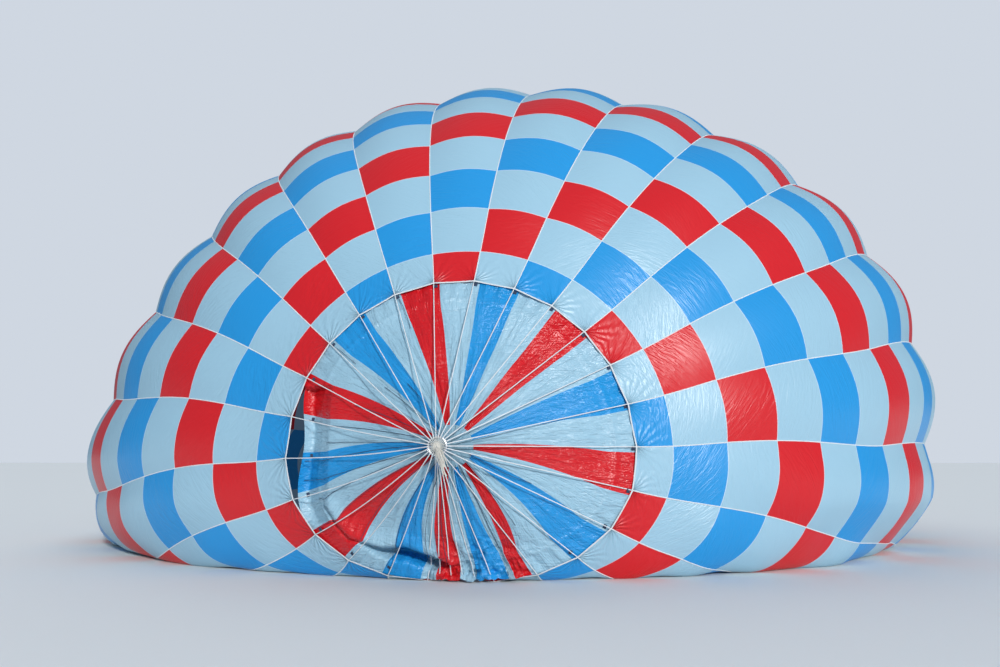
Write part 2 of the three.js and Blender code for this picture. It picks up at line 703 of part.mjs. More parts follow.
function buildBasket() {
  const outer = { width: BASKET.width, height: BASKET.height, corner: BASKET.corner };
  const shrunk = (by) => ({
    width: BASKET.width - 2 * by, height: BASKET.height - 2 * by, corner: BASKET.corner - by,
  });
  const rimEnd = RIM_Y + RIM.depth;
  const wallEnd = rimEnd + GAP + BASKET.depth;
  const wall = ringPlate(outer, shrunk(BASKET.wall), BASKET.depth, AXIS_X, rimEnd + GAP, AXIS_Z);
  const hole = new THREE.ExtrudeGeometry(
    roundedRectangle(FOOTHOLE.width, FOOTHOLE.height, FOOTHOLE.height / 2 - 1),
    { depth: 2 * BASKET.height, bevelEnabled: false, curveSegments: 4 },
  );
  hole.translate(AXIS_X, wallEnd - FOOTHOLE.fromFloor, AXIS_Z - BASKET.height);
  addPiece("basket_wall", cut(wall, hole), material(WICKER, 0.8));

  const rimInside = shrunk(BASKET.wall + RIM.lap);
  const rim = ringPlate(shrunk(-RIM.reach), rimInside, RIM.depth, AXIS_X, RIM_Y, AXIS_Z);
  addPiece("basket_rim", rim, material(LEATHER, 0.6));

  const edging = ringPlate(
    shrunk(-EDGING.reach), shrunk(-GAP), EDGING.depth, AXIS_X, wallEnd - EDGING.depth, AXIS_Z,
  );
  addPiece("basket_edging", edging, material(LEATHER, 0.6));

  const board = uprightPlate(
    roundedRectangle(BASKET.width, BASKET.height, BASKET.corner),
    FLOOR.thickness, AXIS_X, wallEnd + GAP, AXIS_Z,
  );
  const under = wallEnd + GAP + FLOOR.thickness;
  const runners = [-1, 0, 1].map((side) => boxAt(
    AXIS_X, under + RUNNER.height / 2 - RUNNER.joint, AXIS_Z + side * RUNNER.spacing,
    BASKET.width - 2 * RUNNER.inset, RUNNER.height + 2 * RUNNER.joint, RUNNER.width,
  ));
  addPiece("basket_floor", joined([board, ...runners]), material(WICKER, 0.8));

  FRAME_CORNERS.forEach(([sx, sz], i) => {
    const inset = BASKET.wall + CYLINDER.strap + CYLINDER.radius + GAP;
    const bottle = fuelCylinder();
    bottle.translate(
      AXIS_X + sx * (BASKET.width / 2 - inset), wallEnd, AXIS_Z + sz * (BASKET.height / 2 - inset),
    );
    addPiece(`fuel_cylinder_${CORNER_NAMES[i]}`, bottle, material(ALLOY, 0.4, 0.8));
  });
}

// A fuel cylinder stands on the basket floor, its collar and valve towards the open top
function fuelCylinder() {
  const { radius, length, neck, collar, shoulder, foot } = CYLINDER;
  const profile = [[0, 0], [radius - foot, 0], [radius, 2 * foot], [radius, length - shoulder]];
  for (let i = 1; i <= 4; i += 1) {
    const q = (i / 4) * (Math.PI / 2) * 0.8;
    profile.push([radius * Math.cos(q), length - shoulder + shoulder * Math.sin(q)]);
  }
  const top = profile[profile.length - 1][1];
  profile.push([neck, top + neck / 2], [neck, top + collar], [0, top + collar]);
  const bottle = new THREE.LatheGeometry(profile.map(([r, y]) => new THREE.Vector2(r, y)), 16);
  return bottle.rotateX(Math.PI);
}

buildGores();
buildCrown();
buildVent();
buildMouth();
buildFrame();
buildKarabiners();
buildWires();
buildUprights();
buildGimbal();
buildBurner();
buildBasket();

// The origin is on the ground, under the middle of the whole object
const extent = new THREE.Box3().setFromObject(balloon);
const middle = extent.getCenter(new THREE.Vector3());
balloon.position.set(-middle.x, -middle.y, -extent.min.z);

export default balloon;
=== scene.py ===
# %% [markdown]
# A hot air balloon lying on its side
# A fan has blown cold air into the envelope, and it bulges over the ground while its basket still lies
# behind it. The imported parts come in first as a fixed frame, and everything after that dresses them:
# cloth for the gores, webbing for the tapes, cane for the basket. Nothing here moves a part.

import bpy
import numpy as np
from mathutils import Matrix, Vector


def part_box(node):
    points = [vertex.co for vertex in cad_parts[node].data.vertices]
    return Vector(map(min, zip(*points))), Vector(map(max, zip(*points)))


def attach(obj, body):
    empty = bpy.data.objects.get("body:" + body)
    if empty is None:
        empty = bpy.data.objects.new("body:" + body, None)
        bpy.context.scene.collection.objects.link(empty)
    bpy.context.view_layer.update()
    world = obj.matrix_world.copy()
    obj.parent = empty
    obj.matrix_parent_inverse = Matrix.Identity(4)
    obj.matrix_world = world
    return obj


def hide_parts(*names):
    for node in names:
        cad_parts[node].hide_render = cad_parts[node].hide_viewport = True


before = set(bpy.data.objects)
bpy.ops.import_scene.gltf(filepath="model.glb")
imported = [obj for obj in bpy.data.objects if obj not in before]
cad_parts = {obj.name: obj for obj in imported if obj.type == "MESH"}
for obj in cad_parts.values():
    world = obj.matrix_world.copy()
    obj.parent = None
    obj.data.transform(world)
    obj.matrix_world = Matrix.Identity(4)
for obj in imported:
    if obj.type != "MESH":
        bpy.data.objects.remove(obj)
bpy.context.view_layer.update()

print("parts loaded:", len(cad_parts))

# %% [markdown]
# Where the drawing's own zero lies
# The envelope is cut round the middle of its vent, so its formulas start there. The crown ring shows
# where that point went when the parts were packed: the difference is added to every point at the end.

# %% The shift from the cutting plan to the frame
APEX = np.array([-0.095, -1.0, 1.66])  # middle of the crown ring on the cutting plan


def box_of(node):
    """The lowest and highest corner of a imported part, as arrays."""
    low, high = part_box(node)
    return np.array(low), np.array(high)


def middle_of(node):
    """Halfway between the two corners."""
    low, high = box_of(node)
    return (low + high) / 2


SHIFT = middle_of("crown_ring") - APEX
print("shift:", SHIFT.round(4))

# %% [markdown]
# The camera
# Photographs of big round things are matched with three facts: how high the eye is, how far the
# horizon lies from the middle of the picture, and the lens. The eye is 1.5 m up. A camera looks along
# its own -Z, so it is first turned a quarter upwards, then pitched and turned.

# %% Set up the camera
EYE = np.array([1.502, -10.114, 1.5])
YAW = 5.398
PICTURE = (1000, 667)
FOCAL_PIXELS = 785
HORIZON = 460  # pixel row
SENSOR = 36.0

camera_data = bpy.data.cameras.new("camera")
camera_data.sensor_width = SENSOR
camera_data.lens = SENSOR * FOCAL_PIXELS / PICTURE[0]
camera_data.clip_end = 1000
camera = bpy.data.objects.new("camera", camera_data)
pitch = np.arctan((HORIZON - PICTURE[1] / 2) / FOCAL_PIXELS)
camera.location = EYE + SHIFT
camera.rotation_euler = (np.pi / 2 + pitch, 0, np.radians(YAW))
bpy.context.scene.collection.objects.link(camera)
bpy.context.scene.camera = camera
print("lens in mm:", round(camera_data.lens, 2), "pitch in degrees:", round(float(np.degrees(pitch)), 2))

# %% [markdown]
# Meshes from arrays
# Every new surface below is a grid of points worked out at once. This helper hands the arrays to
# Blender in bulk, which is far quicker than adding faces one by one. It also lays the UV map and lets
# the piece ride on its part's body.

# %% A helper that makes a mesh from arrays


def add_mesh(name, points, faces, finish, body="root", uv=None, shift=True):
    """points is (n, 3). faces is a list of arrays, each (m, corners). uv has one place for each point,
    or one for each face corner. The points are given on the cutting plan unless shift is off."""
    mesh = bpy.data.meshes.new(name)
    points = np.asarray(points, float).reshape(-1, 3) + (SHIFT if shift else 0)
    corners = np.concatenate([f.ravel() for f in faces]).astype(np.int32)
    sizes = np.concatenate([np.full(len(f), f.shape[1]) for f in faces])
    starts = np.concatenate([[0], np.cumsum(sizes)[:-1]]).astype(np.int32)
    mesh.vertices.add(len(points))
    mesh.vertices.foreach_set("co", points.astype(np.float32).ravel())
    mesh.loops.add(len(corners))
    mesh.loops.foreach_set("vertex_index", corners)
    mesh.polygons.add(len(sizes))
    mesh.polygons.foreach_set("loop_start", starts)
    mesh.update(calc_edges=True)
    mesh.validate()
    mesh.polygons.foreach_set("use_smooth", np.ones(len(sizes), bool))
    if uv is not None:
        layer = mesh.uv_layers.new(name="cut")
        uv = np.asarray(uv, np.float32)
        layer.data.foreach_set("uv", (uv[corners] if len(uv) == len(points) else uv).ravel())
    piece = bpy.data.objects.new(name, mesh)
    bpy.context.scene.collection.objects.link(piece)
    mesh.materials.append(finish)
    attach(piece, body)
    print(f"{name}: {len(points)} points, {len(sizes)} faces, rides on {body}")
    return piece


def grid_faces(rows, columns, around=False):
    """Quads of a grid whose points are numbered row by row. With around, the last column joins the
    first."""
    wide = columns if around else columns - 1
    j, i = np.meshgrid(np.arange(rows - 1), np.arange(wide), indexing="ij")
    a = j * columns + i
    b = j * columns + (i + 1) % columns
    return np.stack([a, b, b + columns, a + columns], -1).reshape(-1, 4)


print("quads in a grid of 3 by 4 points:", len(grid_faces(3, 4)))

# %% [markdown]
# Nodes in a few words
# A material is a small network. It could be put together by hand in the node editor. A script can be
# read and run again, if a few helpers keep it short: one adds a node and plugs in what is given for each
# input, one does sums, one blends colours, and one starts a material.

# %% Helpers for nodes


def add_node(tree, kind, inputs, **settings):
    """Adds a node. inputs maps an input's name or place to a value, or to the output that feeds it."""
    made = tree.nodes.new(kind)
    for name, value in settings.items():
        setattr(made, name, value)
    for key, value in inputs.items():
        if isinstance(value, bpy.types.NodeSocket):
            tree.links.new(value, made.inputs[key])
        else:
            made.inputs[key].default_value = value
    return made


def maths(tree, operation, *values):
    """One sum: the output of a Math node."""
    return add_node(tree, "ShaderNodeMath", dict(enumerate(values)), operation=operation).outputs[0]


def blend_colours(tree, share, first, second):
    """first where share is 0, second where it is 1."""
    inputs = {"Factor": share, 6: first, 7: second}
    made = add_node(tree, "ShaderNodeMix", inputs, data_type="RGBA")
    return made.outputs[2]


def new_finish(name, roughness, **sockets):
    """A material with one Principled shader. sockets are its inputs by name, underscores for spaces."""
    finish = bpy.data.materials.new(name)
    finish.use_nodes = True
    tree = finish.node_tree
    shader = tree.nodes["Principled BSDF"]
    shader.inputs["Roughness"].default_value = roughness
    for key, value in sockets.items():
        shader.inputs[key.replace("_", " ").title()].default_value = value
    return finish, tree, shader


print("helpers for nodes:", [f.__name__ for f in (add_node, maths, blend_colours, new_finish)])

# %% [markdown]
# Places, noises and height
# Real surfaces are uneven in their own places: a grain that runs along a board, creases that lie in one
# panel. So a finish first asks where a point lies, either in the piece's own metres or on the UV map,
# then looks up noise there. What is too fine for the mesh is raised by a bump, which only turns the
# light.

# %% Helpers for textures


def object_place(tree):
    """Where a point lies, in the piece's own metres."""
    return add_node(tree, "ShaderNodeTexCoord", {}).outputs["Object"]


def cut_place(tree):
    """The two numbers of the UV map, which say where a point lies on its piece's own pattern."""
    uv = add_node(tree, "ShaderNodeUVMap", {}, uv_map="cut").outputs[0]
    return add_node(tree, "ShaderNodeSeparateXYZ", {0: uv}).outputs[:2]


def noise(tree, vector, scale, detail=2.0, distortion=0.0):
    """Soft noise from 0 to 1."""
    inputs = {"Vector": vector, "Scale": scale, "Detail": detail, "Distortion": distortion}
    return add_node(tree, "ShaderNodeTexNoise", inputs).outputs["Fac"]


def ridges(tree, vector, scale, detail=2.0, distortion=0.0):
    """Sharp crease lines: highest where the noise passes its middle, 1 - |2 noise - 1|."""
    from_middle = maths(tree, "MULTIPLY_ADD", noise(tree, vector, scale, detail, distortion), 2, -1)
    return maths(tree, "SUBTRACT", 1, maths(tree, "ABSOLUTE", from_middle))


def raise_surface(tree, shader, height, distance):
    """Lets a height of 0 to 1 stand proud by the distance given."""
    bump = add_node(tree, "ShaderNodeBump", {"Height": height, "Distance": distance, "Strength": 1.0})
    tree.links.new(bump.outputs["Normal"], shader.inputs["Normal"])


print("helpers for textures:", [f.__name__ for f in (object_place, cut_place, noise, ridges, raise_surface)])

# %% [markdown]
# The shape of the envelope
# An envelope is 28 long gores sewn edge to edge along load tapes. Lying on the ground it has a flat
# base, its sides bulge out and its back rises. Each line along it is drawn the way a tape would be
# walked: a table says how far the tape has turned away from the vent's plane, and adding up short
# steps in those directions gives the line. Every cross-section is then two quarter ellipses on a base.

# %% Walk along the load tapes
GORES = 28
TAPE_LENGTH = 25.0
STITCH = 0.025
TURNS = np.array([
    # along, top, side, girth: metres, then degrees
    (0.0, 28, 25, 0),
    (1.0, 21, 17, 0),
    (2.5, 32, 30, 8),
    (4.5, 55, 48, 48),
    (7.0, 75, 65, 65),
    (10.0, 81, 95, 88),
    (14.0, 103, 111, 110),
    (19.0, 123, 119, 125),
    (25.0, 136, 123, 136),
])
VENT_TOP = 3.86
VENT_SIDE = 2.28
VENT_RADIUS = 2.44
stitches = np.arange(0, TAPE_LENGTH + STITCH / 2, STITCH)


def walk(column, start):
    """How far a line has gone outwards and back after each stitch: running sums of the cosine and the
    sine of its turn."""
    turn = np.radians(np.interp(stitches[:-1] + STITCH / 2, TURNS[:, 0], TURNS[:, column]))
    out = start + np.concatenate([[0], np.cumsum(STITCH * np.cos(turn))])
    back = np.concatenate([[0], np.cumsum(STITCH * np.sin(turn))])
    return out, back


top_out, top_back = walk(1, VENT_TOP)
side_out, side_back = walk(2, VENT_SIDE)
girth_out, _ = walk(3, VENT_RADIUS)
print("cut girth in metres:", round(2 * np.pi * girth_out.max(), 1))

# %% [markdown]
# Cross-sections
# Cut across at any distance, the envelope is two quarter ellipses on a base: a tall one above its waist,
# and one below that tucks in towards the ground. It could be found by a simulation of air and cloth, but
# that would be slow and differ from run to run. The two lines walked above, along the top and along the
# side, are enough to draw it.

# %% Outlines of the cross-sections
WAIST = 1.54  # height of the widest place
TUCK_FAR, TUCK_NEAR, TUCK_FADE = 0.74, 1.16, 2.0  # how far the sides tuck in below it, in metres
QUARTER_STEPS = 96
quarter = np.linspace(0, np.pi / 2, QUARTER_STEPS + 1)


def half_outlines(along):
    """For each distance, the right half of its cross-section from the top to the middle of the base:
    points (n, corners, 3) and how far each lies along the outline."""
    height, half = np.interp(along, stitches, top_out), np.interp(along, stitches, side_out)
    back, side = np.interp(along, stitches, top_back), np.interp(along, stitches, side_back)
    tuck = TUCK_FAR + TUCK_NEAR * np.exp(-along / TUCK_FADE)
    one = np.ones_like(quarter)
    upper = np.stack([
        np.outer(half, np.sin(quarter)),
        np.outer(back, one) + np.outer(side - back, np.sin(quarter) ** 2),
        WAIST + np.outer(height - WAIST, np.cos(quarter)),
    ], -1)
    lower = np.stack([
        np.outer(half, one) - np.outer(tuck, 1 - np.cos(quarter)),
        np.outer(side, one),
        np.outer(np.full(len(along), WAIST), 1 - np.sin(quarter)),
    ], -1)[:, 1:]
    base = np.stack([0 * side, side, 0 * side], -1)[:, None]
    points = np.concatenate([upper, lower, base], 1)
    steps = np.diff(points[:, :, [0, 2]], axis=1)
    reach = np.cumsum(np.hypot(steps[..., 0], steps[..., 1]), 1)
    return points, np.concatenate([np.zeros((len(along), 1)), reach], 1)


halfway_round = half_outlines(stitches)[1][:, -1]
print("girth of the widest cross-section in metres:", round(2 * float(halfway_round.max()), 1))

# %% [markdown]
# Gores along the outlines
# The 28 gores are laid along each outline from the top down. Each keeps its cut width as far as the
# ground, and those underneath share what is left. A light wind has turned the pattern a little and makes
# the whole lean and bow to one side, more and more towards the mouth.

# %% Points of the smooth envelope
LEAN, BOW, WIND_OVER = 0.14, 0.35, 10.0
PATTERN_TURN, PATTERN_GROWS = 0.13, 0.31  # gores


def gore_width(along):
    """The width a gore is cut to, a 28th of the girth."""
    return 2 * np.pi * np.interp(along, stitches, girth_out) / GORES


def blown(along):
    """How much of the wind's effect has grown in, from 0 at the vent towards 1."""
    return 1 - np.exp(-along / WIND_OVER)


def smooth_grid(number, along):
    """Points of the envelope before it bulges, for a grid: number is (rows, columns), counted in gores
    clockwise from the top, and along is (rows). Gores keep their cut width down to the ground, and
    those on the ground share what is left."""
    points, reach = half_outlines(along)
    n = number - (PATTERN_TURN + PATTERN_GROWS * blown(along))[:, None]
    n = (n + GORES / 2) % GORES - GORES / 2
    width = gore_width(along)[:, None]
    ground, end = reach[:, -2:-1], reach[:, -1:]
    on_ground = ground / width
    share = (np.abs(n) - on_ground) / (GORES / 2 - on_ground)
    want = np.where(share > 0, ground + (end - ground) * share, width * np.abs(n))
    place = np.sum(want[:, :, None] >= reach[:, None, :], -1)
    place = np.clip(place, 1, reach.shape[1] - 1)
    row = np.arange(len(along))[:, None]
    before, after = reach[row, place - 1], reach[row, place]
    f = ((want - before) / (after - before))[..., None]
    p = points[row, place - 1] * (1 - f) + points[row, place] * f
    rise = np.interp(along, stitches, top_out)[:, None] - WAIST
    up = np.clip((p[..., 2] - WAIST) / rise, 0, 1)
    wind = blown(along)[:, None] * (LEAN * (p[..., 2] - WAIST) + BOW * np.sin(np.pi * up))
    p[..., 0] = p[..., 0] * np.sign(n) + wind
    return p, np.clip(share, 0, 1)


def outward_grid(number, along):
    """Square to the surface and outwards: the step across the gores times the step back."""
    across = smooth_grid(number + 0.05, along)[0] - smooth_grid(number - 0.05, along)[0]
    behind = np.clip(along + 0.05, 0, TAPE_LENGTH)
    ahead = np.clip(along - 0.05, 0, TAPE_LENGTH)
    back = smooth_grid(number, behind)[0] - smooth_grid(number, ahead)[0]
    normal = np.cross(across, back)
    return normal / np.linalg.norm(normal, axis=-1, keepdims=True)


hole = smooth_grid(np.arange(GORES)[None], np.array([0.0]))[0][0]
print("the vent's hole, wide and high in metres:", np.ptp(hole, axis=0)[[0, 2]].round(2))

# %% [markdown]
# Soft unevenness
# Cloth, wrinkles and padding all need a shape that wanders without repeating. A texture could displace
# the mesh. A few dozen sine waves, each running its own way, do the same for any array of points and
# give the same answer wherever they are asked, so that neighbours meet.

# %% A sum of sine waves


def waves(points, size, seed, count=24):
    """Soft unevenness, mostly from -1 to 1: sine waves of about that length, each running its own way,
    added up and divided by the root of their number."""
    rng = np.random.default_rng(seed)
    way = rng.normal(size=(3, count))
    way /= np.linalg.norm(way, axis=0)
    wave = way * 2 * np.pi / (size * rng.uniform(0.7, 1.4, count))
    return np.sin(points @ wave + rng.uniform(0, 2 * np.pi, count)).sum(-1) / np.sqrt(count)


hole_waves = waves(hole, 1.1, 31)
print("unevenness round the vent's hole, from", hole_waves.min().round(2), "to", hole_waves.max().round(2))

# %% [markdown]
# Gores that swell between their tapes
# The tapes carry the load, so the cloth between them stands out in a round belly. Where the envelope
# lies on the ground the same cloth has no room and lies in long folds. Both are added along the
# surface's own normal, and the rows of points are closest near the vent, where they show best.

# %% Points of one gore's cloth
BULGE, BULGE_OVER = 0.13, 4.0  # share of the gore's width, and how slowly it grows in
MOUTH_FADE, LIFT_HEIGHT = 3.0, 0.9  # no belly at the mouth, nor on the ground
COLUMNS = 33
FOLDS, FOLD_RISE = 4, 0.12  # folds in a gore that lies on the ground, and a share of its width
FLAT_UNDER_VENT = 2.9  # the base lies flat that far in, where the vent panel passes when it opens
SLACK_LOW, SLACK_HEIGHT = 0.030, 1.6  # unevenness of the slack cloth near the ground, in metres
SLACK_END, SLACK_FROM = 0.026, 15.0  # and towards the mouth, from that far along
BASE_CLEAR = 0.003
EDGE_PULL, EDGE_PULL_OVER = 0.02, 0.5  # the vent's edge runs straight from tape to tape
cloth_rows = np.concatenate([
    np.arange(0, 1.5, 0.04), np.arange(1.5, 6, 0.075), np.arange(6, 12, 0.12),
    np.arange(12, TAPE_LENGTH, 0.26), [TAPE_LENGTH],
])


def swollen(number, along):
    """The envelope with its bellies: the smooth point, moved out by a share of the gore's width times
    the sine of how far across the gore it lies."""
    p, share = smooth_grid(number, along)
    normal = outward_grid(number, along)
    across = (number + 0.5) % 1
    grown = BULGE * (1 - np.exp(-along / BULGE_OVER)) * np.clip((TAPE_LENGTH - along) / MOUTH_FADE, 0, 1)
    belly = (grown * gore_width(along))[:, None] * np.sin(np.pi * across)
    belly = belly * np.clip(p[..., 2] / LIFT_HEIGHT, 0, 1)
    p = p + normal * belly[..., None]
    inwards = EDGE_PULL * np.exp(-along / EDGE_PULL_OVER)[:, None] * 4 * across * (1 - across)
    centre = np.array([0, 0, WAIST]) - p
    centre[..., 1] = 0
    p = p + centre / np.linalg.norm(centre, axis=-1, keepdims=True) * inwards[..., None]
    slack = SLACK_LOW * np.clip(1 - p[..., 2] / SLACK_HEIGHT, 0, 1)
    slack = slack + SLACK_END * np.clip((along - SLACK_FROM) / 6, 0, 1)[:, None]
    slack = slack * np.clip(along, 0, 1)[:, None] * np.clip(TAPE_LENGTH - along, 0, 1)[:, None]
    settled = np.clip(share * 6, 0, 1)
    past_vent = np.clip((along - FLAT_UNDER_VENT) / 2, 0, 1)[:, None]
    slack = slack * (1 - settled * (1 - past_vent))
    p = p + normal * (slack * waves(p, 1.1, 31))[..., None]
    fold = FOLD_RISE * gore_width(along)[:, None] * (1 - np.cos(2 * np.pi * FOLDS * across)) / 2
    p[..., 2] = np.maximum(p[..., 2], 0) + settled * (BASE_CLEAR + past_vent * fold)
    return p, normal


def gore_number(gore, shares, along):
    """Where shares across a gore lie on the count of gores, the same on every row."""
    return np.broadcast_to(gore - 0.5 + shares, (len(along), len(shares)))


print("one gore's cloth:", len(cloth_rows), "rows of", COLUMNS, "points")

# %% [markdown]
# Colours of the cloth
# The cloth is thin nylon, dyed before it is coated, so its colour is even and full. Only three colours
# are used. With the sky behind it, such cloth also glows on its inner side. A translucent shader would
# give that and cost much more light to work out, so the inner side gives off a little of its own colour.

# %% Three colours and their glow
LIGHT_BLUE = (0.32, 0.52, 0.64, 1)
MID_BLUE = (0.014, 0.28, 0.64, 1)
RED = (0.62, 0.008, 0.013, 1)
GLOW = 0.08


def panel_colour(tree, kind):
    """Red where the kind is 0, mid blue where it is 2, light blue otherwise."""
    red = maths(tree, "COMPARE", kind, 0, 0.5)
    mid = maths(tree, "COMPARE", kind, 2, 0.5)
    return blend_colours(tree, mid, blend_colours(tree, red, LIGHT_BLUE, RED), MID_BLUE)


def let_light_through(tree, shader, colour):
    """Daylight comes through thin cloth, so its inner side glows a little in its own colour."""
    inner = add_node(tree, "ShaderNodeNewGeometry", {}).outputs["Backfacing"]
    tree.links.new(colour, shader.inputs["Emission Color"])
    tree.links.new(maths(tree, "MULTIPLY", inner, GLOW), shader.inputs["Emission Strength"])


print("cloth colours:", {"light blue": LIGHT_BLUE[:3], "mid blue": MID_BLUE[:3], "red": RED[:3]})

# %% [markdown]
# Creases
# Coated nylon comes out of its bag crinkled, and the load then pulls it tight from its corners. In the
# mesh such creases would take millions of faces, and they are only millimetres deep. So they are a
# height in the material. Each panel creases at its own slant, and beside the vent, where the tapes draw
# the cloth in, more creases fan out from every corner.

# %% Creases as heights
MEAN_WIDTH, VENT_GORE_WIDTH = 1.2, 0.55  # metres across a gore
CREASE_SLANT = 0.75  # radians, either way
CREASES_ALONG, CREASES_ACROSS = 1.5, 10.0  # how fast the noise changes each way, a metre
CREASE_HEIGHT = 0.008
FAN_RAYS, FAN_FADE, FAN_STRENGTH = 21, 3.6, 0.85


def slanted_creases(tree, across, along, gore, panel):
    """Creases at a different slant in each panel. The place is turned by a chance angle: run = metres cos
    + along sin, rise = along cos - metres sin. Noise stretched along the run gives ridges, made sharp by
    a third power. Strength = 0.38 + 0.25 e^(-0.2 along), and 0.3 of that to all of it in slow patches.
    The second answer is the turned place."""
    metres = maths(tree, "MULTIPLY", maths(tree, "FRACT", across), MEAN_WIDTH)
    which = add_node(tree, "ShaderNodeCombineXYZ", {0: gore, 1: panel}).outputs[0]
    chance = add_node(tree, "ShaderNodeTexWhiteNoise", {0: which}).outputs["Value"]
    angle = maths(tree, "MULTIPLY_ADD", chance, 2 * CREASE_SLANT, -CREASE_SLANT)
    cosine, sine = maths(tree, "COSINE", angle), maths(tree, "SINE", angle)
    run = maths(tree, "ADD", maths(tree, "MULTIPLY", metres, cosine), maths(tree, "MULTIPLY", along, sine))
    rise = maths(tree, "SUBTRACT", maths(tree, "MULTIPLY", along, cosine),
                 maths(tree, "MULTIPLY", metres, sine))
    turned_place = add_node(tree, "ShaderNodeCombineXYZ", {
        0: maths(tree, "MULTIPLY", run, CREASES_ALONG), 1: maths(tree, "MULTIPLY", rise, CREASES_ACROSS),
        2: chance}).outputs[0]
    creases = maths(tree, "POWER", ridges(tree, turned_place, 1.4, 3, 0.4), 3)
    near_vent = maths(tree, "EXPONENT", maths(tree, "MULTIPLY", along, -0.2))
    creases = maths(tree, "MULTIPLY", creases, maths(tree, "MULTIPLY_ADD", near_vent, 0.25, 0.38))
    patchy = add_node(tree, "ShaderNodeMapRange", {
        "Value": noise(tree, object_place(tree), 0.7, 2), "From Min": 0.38, "From Max": 0.62,
    }).outputs["Result"]
    return maths(tree, "MULTIPLY", creases, maths(tree, "MULTIPLY_ADD", patchy, 0.7, 0.3)), turned_place


def fans(tree, across, along, place):
    """Creases that spread from both tapes at the vent's edge: the sine of a multiple of the angle round
    the corner, made uneven by noise. They die out with the distance from the corner."""
    from_tape = maths(tree, "MULTIPLY", maths(tree, "PINGPONG", across, 0.5), VENT_GORE_WIDTH)
    angle = maths(tree, "ARCTAN2", along, from_tape)
    uneven = maths(tree, "MULTIPLY", noise(tree, place, 0.9, 2), 7)
    rays = maths(tree, "SINE", maths(tree, "MULTIPLY_ADD", angle, FAN_RAYS, uneven))
    reach = maths(tree, "SQRT", maths(tree, "ADD", maths(tree, "MULTIPLY", along, along), maths(
        tree, "MULTIPLY", from_tape, from_tape)))
    fade = maths(tree, "EXPONENT", maths(tree, "MULTIPLY", reach, -FAN_FADE))
    return maths(tree, "MULTIPLY", maths(tree, "MULTIPLY", rays, fade), FAN_STRENGTH)


print("creases slant by up to", round(float(np.degrees(CREASE_SLANT))), "degrees")

# %% [markdown]
# Balloon cloth
# The envelope is chequered: each gore is sewn from short panels, and every fourth panel is red, every
# fourth mid blue, with light blue between. A picture is not needed for that. The UV map holds the
# gore's number across and the metres along, so whole numbers and a division by the panel's height
# give the panel, and a remainder gives its colour. A pale line marks each seam, and the last metre
# before the mouth is black cloth that stands heat.

# %% The chequered cloth
PANEL_START, PANEL_HEIGHT = 0.515, 0.76
SEAM_WIDTH, SEAM_COLOUR = 0.012, (0.75, 0.82, 0.86, 1)
HEAT_CLOTH, HEAT_CLOTH_WIDTH = (0.012, 0.012, 0.014, 1), 1.1


def chequered_cloth():
    """Panel = whole part of (along - start) / height, plus 1. Kind = (panel - gore) modulo 4."""
    finish, tree, shader = new_finish("balloon_cloth", 0.37)
    across, along = cut_place(tree)
    panels = maths(tree, "DIVIDE", maths(tree, "SUBTRACT", along, PANEL_START), PANEL_HEIGHT)
    panel = maths(tree, "MAXIMUM", maths(tree, "ADD", maths(tree, "FLOOR", panels), 1), 0)
    gore = maths(tree, "FLOOR", across)
    kind = maths(tree, "FLOORED_MODULO", maths(tree, "SUBTRACT", panel, gore), 4)
    colour = panel_colour(tree, kind)
    from_seam = maths(tree, "PINGPONG", panels, 0.5)
    seam = maths(tree, "LESS_THAN", from_seam, SEAM_WIDTH / 2 / PANEL_HEIGHT)
    colour = blend_colours(tree, maths(tree, "MULTIPLY", seam, 0.5), colour, SEAM_COLOUR)
    heat = maths(tree, "GREATER_THAN", along, TAPE_LENGTH - HEAT_CLOTH_WIDTH)
    colour = blend_colours(tree, heat, colour, HEAT_CLOTH)
    tree.links.new(colour, shader.inputs["Base Color"])
    let_light_through(tree, shader, colour)
    creases, turned_place = slanted_creases(tree, across, along, gore, panel)
    spread = fans(tree, across, along, turned_place)
    raise_surface(tree, shader, maths(tree, "ADD", creases, spread), CREASE_HEIGHT)
    return finish


balloon_cloth = chequered_cloth()
print("panels along a gore:", int((TAPE_LENGTH - PANEL_START) / PANEL_HEIGHT) + 2)
print("nodes in the cloth's material:", len(balloon_cloth.node_tree.nodes))

# %% [markdown]
# The gores
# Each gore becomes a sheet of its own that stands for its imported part. The first number of its UV map
# starts at the gore's own number, so that one material serves all 28, and it stays a little off the
# whole numbers, where the next gore's colour would begin.

# %% Make the 28 gores
EDGE_U = 0.001
shares = np.linspace(0, 1, COLUMNS)
for gore in range(GORES):
    cloth, _ = swollen(gore_number(gore, shares, cloth_rows), cloth_rows)
    u, v = np.meshgrid(gore + EDGE_U + (1 - 2 * EDGE_U) * shares, cloth_rows)
    name = f"gore_cloth_{gore + 1:02d}"
    faces = grid_faces(len(cloth_rows), COLUMNS)
    piece = add_mesh(name, cloth, [faces], balloon_cloth, uv=np.stack([u, v], -1).reshape(-1, 2))
    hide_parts(f"gore_{gore + 1:02d}")

# %% [markdown]
# Load tapes
# Every seam between two gores carries a white tape, which is what holds the balloon up. A tape is drawn
# as a ribbon: a line of centres, the direction away from the cloth, and a low box section with its
# edges tucked into the cloth.

# %% The 28 load tapes
TAPE_WIDTH, TAPE_RISE = 0.015, 0.004
RIBBON_SECTION = [(-0.5, 0), (-0.44, 1), (0.44, 1), (0.5, 0)]  # share of the width, share of the rise


